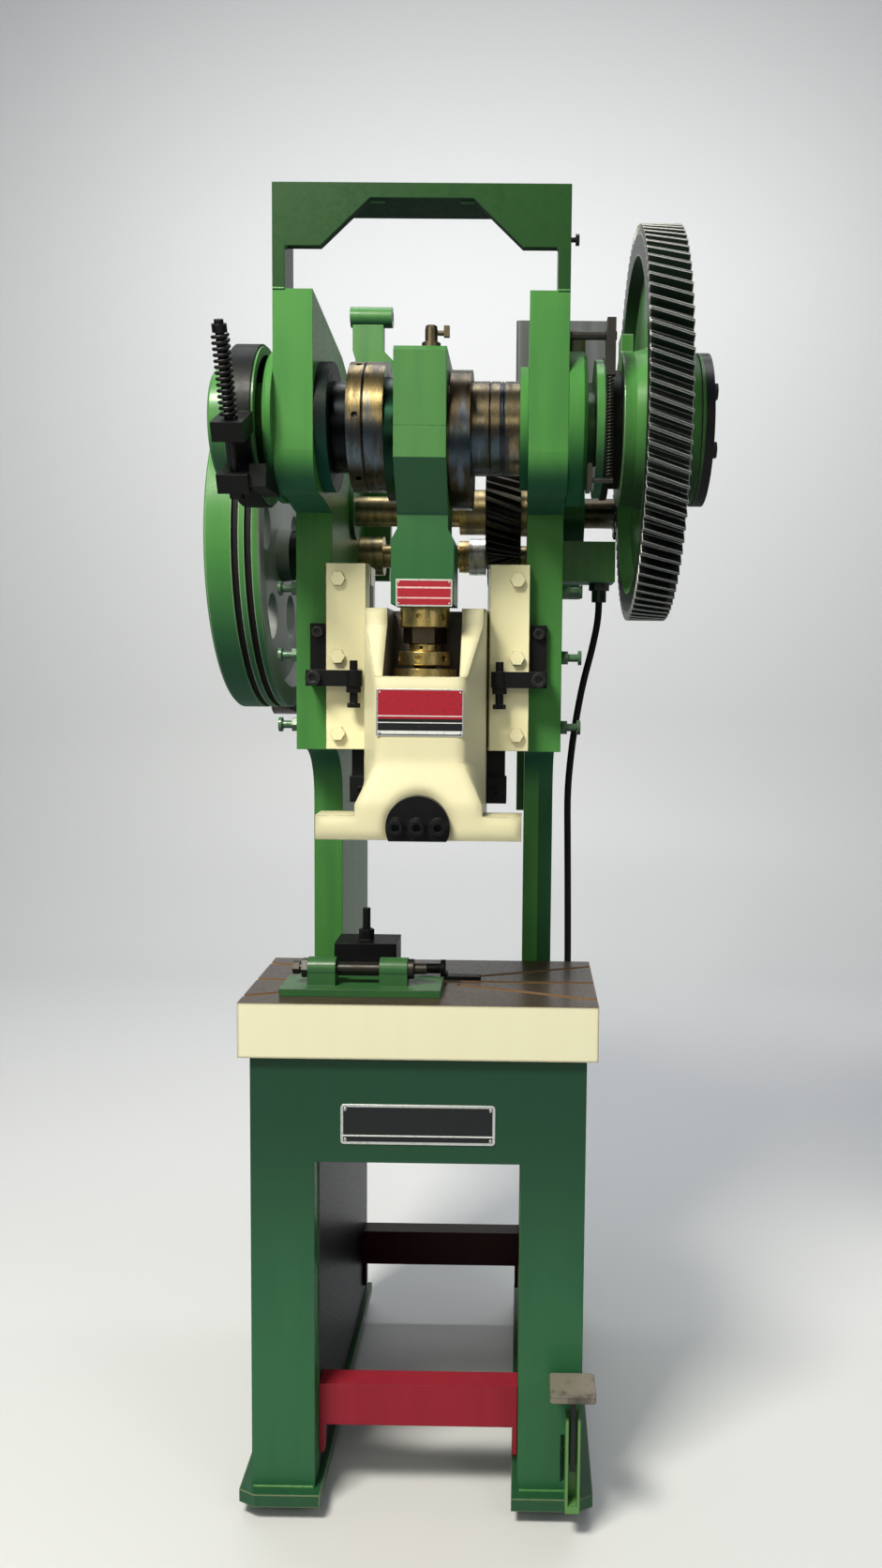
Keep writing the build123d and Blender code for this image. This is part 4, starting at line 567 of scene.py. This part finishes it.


# Crank: one forged shaft turned bright, with an eccentric bush and journal rings pressed on.
# Oil and wear have left it straw-coloured, and below the middle it carries a painted blue
# reflection and painted shade that goes almost black. Grooves between the rings are dark, the
# gap towards the strap has painted shade, and the left shoulder is black.
straw = (0.21, 0.157, 0.070)
ring_edges = ((-0.1210, -0.4, 1.7), (-0.0611, 0.0, 2.0), (0.085, 0.065, 0.035), 0.0003)
ring_middle = ((-0.1120, -0.4, 1.7), (-0.0700, 0.0, 2.0), straw, (0.012, 0.01, 0.01))
brown_disc = ((0.0440, -0.4, 1.7), (0.0795, 0.0, 2.0), (0.075, 0.055, 0.032), 0.0003)
# Painted blue reflection and painted shade on the lower half of the crank and its rings.
blue_reflection_left = ((-0.1210, -0.4, 1.60), (-0.0611, 0.0, 1.822), (0.060, 0.085, 0.100),
              (0.0003, 0.01, 0.03))
blue_reflection_right = ((0.0440, -0.4, 1.60), (0.1400, 0.0, 1.822), (0.045, 0.065, 0.080),
               (0.0003, 0.01, 0.03))
shade_below = ((-0.1210, -0.4, 1.60), (0.1400, 0.0, 1.768), (0.018, 0.017, 0.014),
               (0.0003, 0.01, 0.025))
ring_groove = ((-0.0970, -0.4, 1.7), (-0.0930, 0.0, 2.0), (0.02, 0.02, 0.02), 0.001)
sleeve_groove = ((0.1075, -0.4, 1.7), (0.1105, 0.0, 2.0), (0.02, 0.02, 0.02), 0.0005)
sleeve_band = ((0.1255, -0.4, 1.7), (0.1340, 0.0, 2.0), (0.03, 0.035, 0.045), 0.001)
left_shoulder = ((-0.1535, -0.4, 1.7), (-0.1212, 0.0, 2.0), (0.006, 0.007, 0.008), 0.0003)
# Painted shade in the gap towards the strap.
strap_gap_shade = ((-0.0609, -0.4, 1.7), (-0.0420, 0.0, 2.0), (0.006, 0.020, 0.012), 0.0003)
journal = metal_material(
    "journal", base=(0.165, 0.132, 0.080), stain=(0.035, 0.027, 0.016), bloom=(0.06, 0.08, 0.11),
    amount=0.85, rough=0.20,
    zones=[ring_edges, ring_middle, brown_disc, blue_reflection_left, blue_reflection_right, shade_below],
    over=[ring_groove, sleeve_groove, sleeve_band, left_shoulder, strap_gap_shade])
dress(journal, "crankshaft", "journal_rings", "eccentric_bush")


# Bushes: cast bronze turned to size and pressed into the housings, the drive flanges and the
# gear's hub. They are yellow where they rub and brown where old oil has dried.
brass = metal_material(
    "brass", base=(0.72, 0.54, 0.20), stain=(0.16, 0.11, 0.05), bloom=(0.30, 0.24, 0.14),
    amount=0.7, rough=0.22)
dress(brass, "crank_bushes", "drive_bushes", "gear_bush")


# Connecting rod: a cast steel rod with its strap cap, bolted together round the eccentric. Both
# are in a deeper green than the frame, and the shank below the strap is darkest, with painted
# shade under the strap.
# Painted shade on the shank under the strap.
shank = ((-0.2, -0.5, 1.4), (0.2, 0.0, 1.706), (0.018, 0.096, 0.028), 0.004)
rod_green = painted_material(
    "rod_green", colour=(0.042, 0.152, 0.035), dark=green_dark, chip=chipped, rough=0.30, dirt=0.15,
    wear=0.3, lacquer=0.08, specular=0.25, zones=[shank])
dress(rod_green, "connecting_rod", "strap_cap")


# Lubricator: a small cup of brass with a tap, screwed into the top of the strap cap. It has
# gone brown all over.
old_brass = metal_material(
    "old_brass", base=(0.12, 0.10, 0.065), stain=(0.05, 0.04, 0.025), bloom=(0.10, 0.09, 0.07),
    amount=0.7, rough=0.3)
dress(old_brass, "lubricator", "lubricator_tap")


# Ball screw: the oily steel thread that sets the shut height, between the rod and the ram. Its
# lock rings and the ring of the ball cup are bronze, like the bushes.
screw_steel = metal_material(
    "screw_steel", base=(0.075, 0.060, 0.042), stain=(0.03, 0.022, 0.014), bloom=(0.12, 0.10, 0.07),
    amount=0.6, rough=0.28)
dress(screw_steel, "ball_screw")
dress(brass, "lock_rings", "ball_cup_ring")


# Rod nameplate: a small red enamelled sheet with a bright rim and two pale rules, left blank,
# riveted across the foot of the rod.
field_red = (0.30, 0.014, 0.026)
pale_rule = (0.62, 0.42, 0.40)
rod_print = plate_material("rod_print",
                           [(1.0, field_red), (0.72, pale_rule), (0.66, field_red),
                            (0.34, pale_rule), (0.29, field_red)],
                           rim=(0.03, 0.06))
rod_face_y, rod_plate_x, rod_plate_z, rod_plate_t = -0.295, 0.003, 1.5775, 0.0012
plate("rod_plate", (rod_plate_x, rod_face_y, rod_plate_z), 0.047, 0.0225, rod_plate_t, 0.002,
      rod_print, "rod")
rivets("rod_rivets", (rod_plate_x, rod_face_y - rod_plate_t, rod_plate_z), 0.042, 0.0175, 0.0018,
       "rod")


# Ram: a casting whose front swells down to the flange in soft rounds, in thick cream paint.
# The pocket for the ball and its cup is dirty with grease inside.
pocket = ((-0.0635, -0.318, 1.415), (0.0635, -0.1385, 1.5545), (0.115, 0.100, 0.080), 0.0004)
ram_paint = painted_material(
    "ram_paint", colour=(0.640, 0.605, 0.395), dark=cream_dark, chip=cream_chip, rough=0.30,
    dirt=0.05, wear=0.4, rounding=0.030, lacquer=0.12, zones=[pocket])
dress(ram_paint, "ram")


# Ways and shank clamp of the ram: black steel blocks. The ways are bolted to its sides and run
# in the guides, and the clamp's three bolts hold the shank of a tool in its foot.
dress(black, "ram_ways", "shank_clamp")


# Ram nameplate: a sheet with a red field above and a black one below, parted by bright rules
# and framed by a bright rim, left blank and riveted to the front of the ram.
ram_print = plate_material("ram_print",
                           [(1.0, field_red), (0.44, silver), (0.42, field_red),
                            (0.37, field_black), (0.30, silver), (0.28, field_black),
                            (0.12, silver), (0.05, field_black)],
                           rim=(0.02, 0.03))
ram_face_y, ram_plate_z, ram_plate_t = -0.325, 1.381, 0.0015
plate("ram_plate", (0.0, ram_face_y, ram_plate_z), 0.072, 0.039, ram_plate_t, 0.003, ram_print,
      "ram")
rivets("ram_rivets", (0.0, ram_face_y - ram_plate_t, ram_plate_z), 0.066, 0.033, 0.002, "ram")


# Bull gear: a cast wheel with cut helical teeth, which runs on a bush at the crank's right end.
# Its web is painted green, the toothed rim is black with grease, and the teeth's edges shine.
def radial_material(name, y, z, inner, steps, dark, dirt, glint, zones=()):
    """Paints in rings on a wheel about an axis along X: inner at the middle, then each colour
    of steps beyond its radius. Worn edges are bright, and metal where glint is above 0."""
    chip_width, rounding, wear, coat_rough, rough = 0.003, 0.002, 0.9, 0.14, 0.30
    material, tree, shader = new_material(name)
    from_axis = vector_maths(tree, "SUBTRACT", stretched(tree, (0, 1, 1)), (0, y, z)).outputs[0]
    distance = vector_maths(tree, "LENGTH", from_axis).outputs["Value"]
    colour = (*inner, 1)
    for radius, outer in steps:
        beyond = maths(tree, "GREATER_THAN", distance, radius)
        colour = mix(tree, beyond, colour, (*outer, 1))
    e = add(tree, "ShaderNodeGroup", node_tree=edge)
    e.inputs["Radius"].default_value = chip_width
    e.inputs["Round"].default_value = rounding
    e.inputs["Wear"].default_value = wear
    c = add(tree, "ShaderNodeGroup", node_tree=coat)
    give(tree, c.inputs["Colour"], in_zones(tree, colour, zones))
    c.inputs["Dark"].default_value = (*dark, 1)
    c.inputs["Dirt"].default_value = dirt
    bare = (0.55, 0.56, 0.55, 1)
    give(tree, shader.inputs["Base Color"],
         mix(tree, e.outputs["Mask"], c.outputs["Colour"], bare))
    lift = maths(tree, "MULTIPLY", c.outputs["Rough"], coat_rough)
    give(tree, shader.inputs["Roughness"], maths(tree, "ADD", lift, rough))
    give(tree, shader.inputs["Normal"], e.outputs["Normal"])
    give(tree, shader.inputs["Metallic"], maths(tree, "MULTIPLY", e.outputs["Mask"], glint))
    shader.inputs["Specular IOR Level"].default_value = 0.12
    return material


gear_low, gear_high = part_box("bull_gear")
tip_radius = (gear_high.z - gear_low.z) / 2
crank_y, crank_z = -0.235, 1.855
rim_radius, land_depth = 0.2715, 0.0012
wheel_paint = radial_material("wheel_paint", crank_y, crank_z, green_tone,
                              [(rim_radius, (0.005, 0.006, 0.006)),
                               (tip_radius - land_depth, (0.028, 0.030, 0.031))],
                              (0.008, 0.02, 0.012), dirt=0.3, glint=0.7)
dress(wheel_paint, "bull_gear")


# End disc: a turned cap screwed on the end of the crank outside the gear. It is black outside
# and green on the step that faces the gear.
green_step = ((0.44, -0.5, 1.6), (0.4515, 0.0, 2.1), green_tone, 0.0003)
disc_paint = painted_material(
    "disc_paint", colour=black_tone, dark=black_dark, chip=black_chip, rough=0.30, dirt=0.4,
    wear=0.3, chip_width=0.0015, lacquer=0.05, specular=0.25, zones=[green_step])
dress(disc_paint, "end_disc")


# Flywheel: a heavy cast wheel with two belt grooves, keyed on the lower shaft at the left. Its
# rim is green, its machined web is a dusty grey, and the hub inside is black with oil.
web_grey = (0.40, 0.41, 0.41)
web_face = ((-0.3155, -0.2, 1.2), (-0.26, 0.6, 2.1), web_grey, 0.0005)
oily_hub = ((-0.3120, 0.148, 1.6153), (-0.25, 0.288, 1.7553), (0.010, 0.011, 0.011), 0.0005)
flywheel_y, flywheel_z, web_radius = 0.218, 1.6853, 0.290
flywheel_paint = radial_material("flywheel_paint", flywheel_y, flywheel_z, web_grey,
                                 [(web_radius, green_tone)], green_dark, dirt=0.12, glint=0.0,
                                 zones=[web_face, oily_hub])
dress(flywheel_paint, "flywheel")


# Drive shafts: bright turned steel in bronze bushes, yellow with oil. One collar is brass, the
# next one bright, the pinions are black with grease, and the end towards the gear is brown.
yellow_collar = ((0.0325, -0.1, 1.5), (0.0538, 0.5, 1.9), (0.60, 0.44, 0.17), 0.0003)
bright_collar = ((0.0541, 0.1, 1.6), (0.0885, 0.3, 1.75), (0.80, 0.80, 0.78), 0.0003)
black_gear = ((0.0915, 0.0, 1.5), (0.1605, 0.4, 1.9), (0.035, 0.035, 0.035), 0.0003)
brown_end = ((0.2840, 0.0, 1.6), (0.4200, 0.3, 1.9), (0.050, 0.042, 0.030), 0.0003)
shaft_steel = metal_material(
    "shaft_steel", base=(0.46, 0.36, 0.19), stain=(0.12, 0.09, 0.05), bloom=(0.08, 0.09, 0.10),
    amount=0.6, rough=0.24, zones=[yellow_collar, bright_collar, black_gear, brown_end])
dress(shaft_steel, "flywheel_shaft", "intermediate_shaft")
dark_steel = metal_material(
    "dark_steel", base=(0.040, 0.038, 0.036), stain=(0.04, 0.03, 0.02), bloom=(0.04, 0.045, 0.05),
    amount=0.7, rough=0.32, metallic=0.8)
dress(dark_steel, "inner_gear")


# Motor: a round cast body with a foot on the rear shelf, and the starter's sheet steel box, in
# old machine grey. The rotor with its pulley is dark steel, and the two belts are plain rubber.
grey = painted_material(
    "grey", colour=(0.085, 0.095, 0.10), dark=(0.02, 0.02, 0.022), chip=chipped, rough=0.36,
    dirt=0.5, wear=0.3)
dress(grey, "motor", "starter_box")
dress(dark_steel, "motor_rotor")
dress(rubber, "v_belts")


# Brake: a green drum keyed on the crank's left end, in a black steel band. The band is held by
# a forged anchor and drawn together by a bolt through a coil spring of blackened wire.
dress(green, "brake_drum")
dress(black, "brake_band", "brake_anchor")
black_steel = metal_material(
    "black_steel", base=(0.03, 0.03, 0.032), stain=(0.015, 0.012, 0.01), bloom=(0.06, 0.06, 0.06),
    amount=0.7, rough=0.30)
dress(black_steel, "brake_bolt", "brake_spring")


# Clutch: a green disc and a black collar beside the bull gear, tripped by a lever of dark
# steel on its own mounts, which a spring pulls back.
dress(green, "clutch_disc_green")
dress(black, "trip_collar")
dress(dark_steel, "trip_mounts", "trip_lever", "trip_spring")


# Clutch box: a green sheet steel box on the right cheek. The cable of the treadle enters it
# from below through a black gland.
gland = ((0.28, -0.1, 1.4), (0.345, 0.2, 1.6198), (0.006, 0.006, 0.006), 0.0003)
box_paint = painted_material(
    "box_paint", colour=green_tone, dark=green_dark, chip=chipped, rough=0.30, dirt=0.35, wear=0.3,
    lacquer=0.1, specular=0.3, zones=[gland])
dress(box_paint, "clutch_box")


# Treadle: a green lever on dark steel brackets at the right foot, with a pedal plate of bare
# steel on a black stem. Its cable in a rubber cover runs up to the clutch box.
# The lever's lighter, yellower green is a lit copy of the frame's green: painted light.
lever_lit_green = painted_material(
    "lever_lit_green", colour=(0.110, 0.270, 0.075), dark=green_dark, chip=chipped, rough=0.30,
    dirt=0.3, wear=0.6, lacquer=0.1, specular=0.3)
dress(lever_lit_green, "treadle_lever")
stem = ((0.2, -0.5, 0.1), (0.32, -0.2, 0.2525), (0.006, 0.014, 0.008), 0.0003)
worn_plate = painted_material(
    "worn_plate", colour=(0.20, 0.178, 0.145), dark=(0.035, 0.032, 0.03), chip=(0.02, 0.02, 0.02),
    rough=0.42, dirt=0.9, wear=0.8, lacquer=0.0, specular=0.3, zones=[stem])
dress(worn_plate, "pedal")
dress(dark_steel, "treadle_brackets")
dress(rubber, "treadle_cable")


# Tooling: a small fixture clamped on the table, a green welded base with two lugs, a dark steel
# cross bolt through them, and a black block in two parts behind.
fixture_green = painted_material(
    "fixture_green", colour=(0.032, 0.112, 0.032), dark=green_dark, chip=chipped, rough=0.30,
    dirt=0.2, wear=0.5, lacquer=0.1, specular=0.3)
dress(fixture_green, "fixture_base")
dress(black, "fixture_block")
dress(dark_steel, "fixture_bolt")


# Studio floor: a pale sweep that curves up into the wall behind. Its section is a straight
# line, then y = d + R sin a and z = R (1 - cos a) over a quarter turn, then straight up.
floor_front, floor_depth, wall_bend, wall_height, half_width = -6.0, 3.2, 1.2, 6.0, 8.0
a = math.pi / 2 * np.arange(13) / 12
sweep_y = np.concatenate([[floor_front], floor_depth + wall_bend * np.sin(a),
                          [floor_depth + wall_bend]])
sweep_z = np.concatenate([[0.0], wall_bend * (1 - np.cos(a)), [wall_height]])
sweep_x = np.array([[-half_width], [half_width]])
verts = np.stack([sweep_x + 0 * sweep_y, sweep_y + 0 * sweep_x, sweep_z + 0 * sweep_x], axis=-1)
count = len(sweep_y)
left = np.arange(count - 1)
faces = np.stack([left, left + count, left + count + 1, left + 1], axis=-1)
floor_mesh = bpy.data.meshes.new("floor")
floor_mesh.from_pydata(verts.reshape(-1, 3).tolist(), [], faces.tolist())
floor_mesh.shade_smooth()
floor = bpy.data.objects.new("floor", floor_mesh)
scene.collection.objects.link(floor)
floor_material, _, floor_shader = new_material("floor")
floor_shader.inputs["Base Color"].default_value = (0.72, 0.73, 0.75, 1)
floor_shader.inputs["Roughness"].default_value = 0.45
floor_mesh.materials.append(floor_material)


# Studio lamps: a warm key from high on the left, a wide low sheen in front, a fill from the
# right, one lamp above, one for the wall behind, and a faint cool sky all round.
def area_light(name, place, aim, size, power, colour):
    """Rectangular soft light that looks at a point."""
    data = bpy.data.lights.new(name, "AREA")
    data.shape = "RECTANGLE"
    data.size, data.size_y = size
    data.energy = power
    data.color = colour
    light = bpy.data.objects.new(name, data)
    light.location = place
    light.rotation_euler = (Vector(aim) - Vector(place)).to_track_quat("-Z", "Y").to_euler()
    scene.collection.objects.link(light)


area_light("key", (-1.2, -2.1, 3.9), (0.0, -0.2, 1.45), (1.2, 0.7), 182, (1.0, 0.96, 0.84))
area_light("sheen", (-0.7, -3.5, 2.45), (0.0, -0.3, 1.7), (2.4, 0.8), 16, (1.0, 0.93, 0.72))
area_light("fill", (2.2, -2.6, 2.6), (0.1, 0.0, 1.2), (1.2, 1.2), 16, (1.0, 0.97, 0.90))
area_light("top", (0.2, 0.2, 4.4), (0.0, -0.1, 1.0), (2.4, 1.0), 30, (1.0, 1.0, 1.0))
area_light("back", (0.0, 1.6, 4.6), (0.0, 4.3, 1.6), (5.0, 0.6), 90, (1.0, 1.0, 1.0))
world = bpy.data.worlds.new("world")
world.use_nodes = True
sky = world.node_tree.nodes["Background"]
sky.inputs["Color"].default_value = (0.74, 0.88, 1.0, 1)
sky.inputs["Strength"].default_value = 0.13
scene.world = world


# Camera: the photograph's place, lens and tilt, with the lens shifted because the picture's
# vanishing point is off its middle. Lengths in px are on the whole frame.
photo_width, photo_height = 941.0, 1672.0
focal_px = 1250.0
centre_px = (546.04, 808.86)
sensor = 36.0
lens = bpy.data.cameras.new("camera")
lens.sensor_fit = "VERTICAL"
lens.sensor_height = sensor
lens.lens = focal_px / photo_height * sensor
lens.shift_x = (photo_width / 2 - centre_px[0]) / photo_height
lens.shift_y = (centre_px[1] - photo_height / 2) / photo_height
lens.clip_end = 60.0
camera = bpy.data.objects.new("camera", lens)
scene.collection.objects.link(camera)
camera_place = (0.1676, -2.2399, 1.4516)
yaw_deg, down_deg, roll_deg = 0.5, 4.3, 0.62
yaw = Matrix.Rotation(math.radians(yaw_deg), 4, "Z")
tilt = Matrix.Rotation(math.radians(90 - down_deg), 4, "X")
roll = Matrix.Rotation(math.radians(roll_deg), 4, "Z")
camera.matrix_world = Matrix.Translation(camera_place) @ yaw @ tilt @ roll
scene.camera = camera
scene.view_settings.view_transform = "Standard"
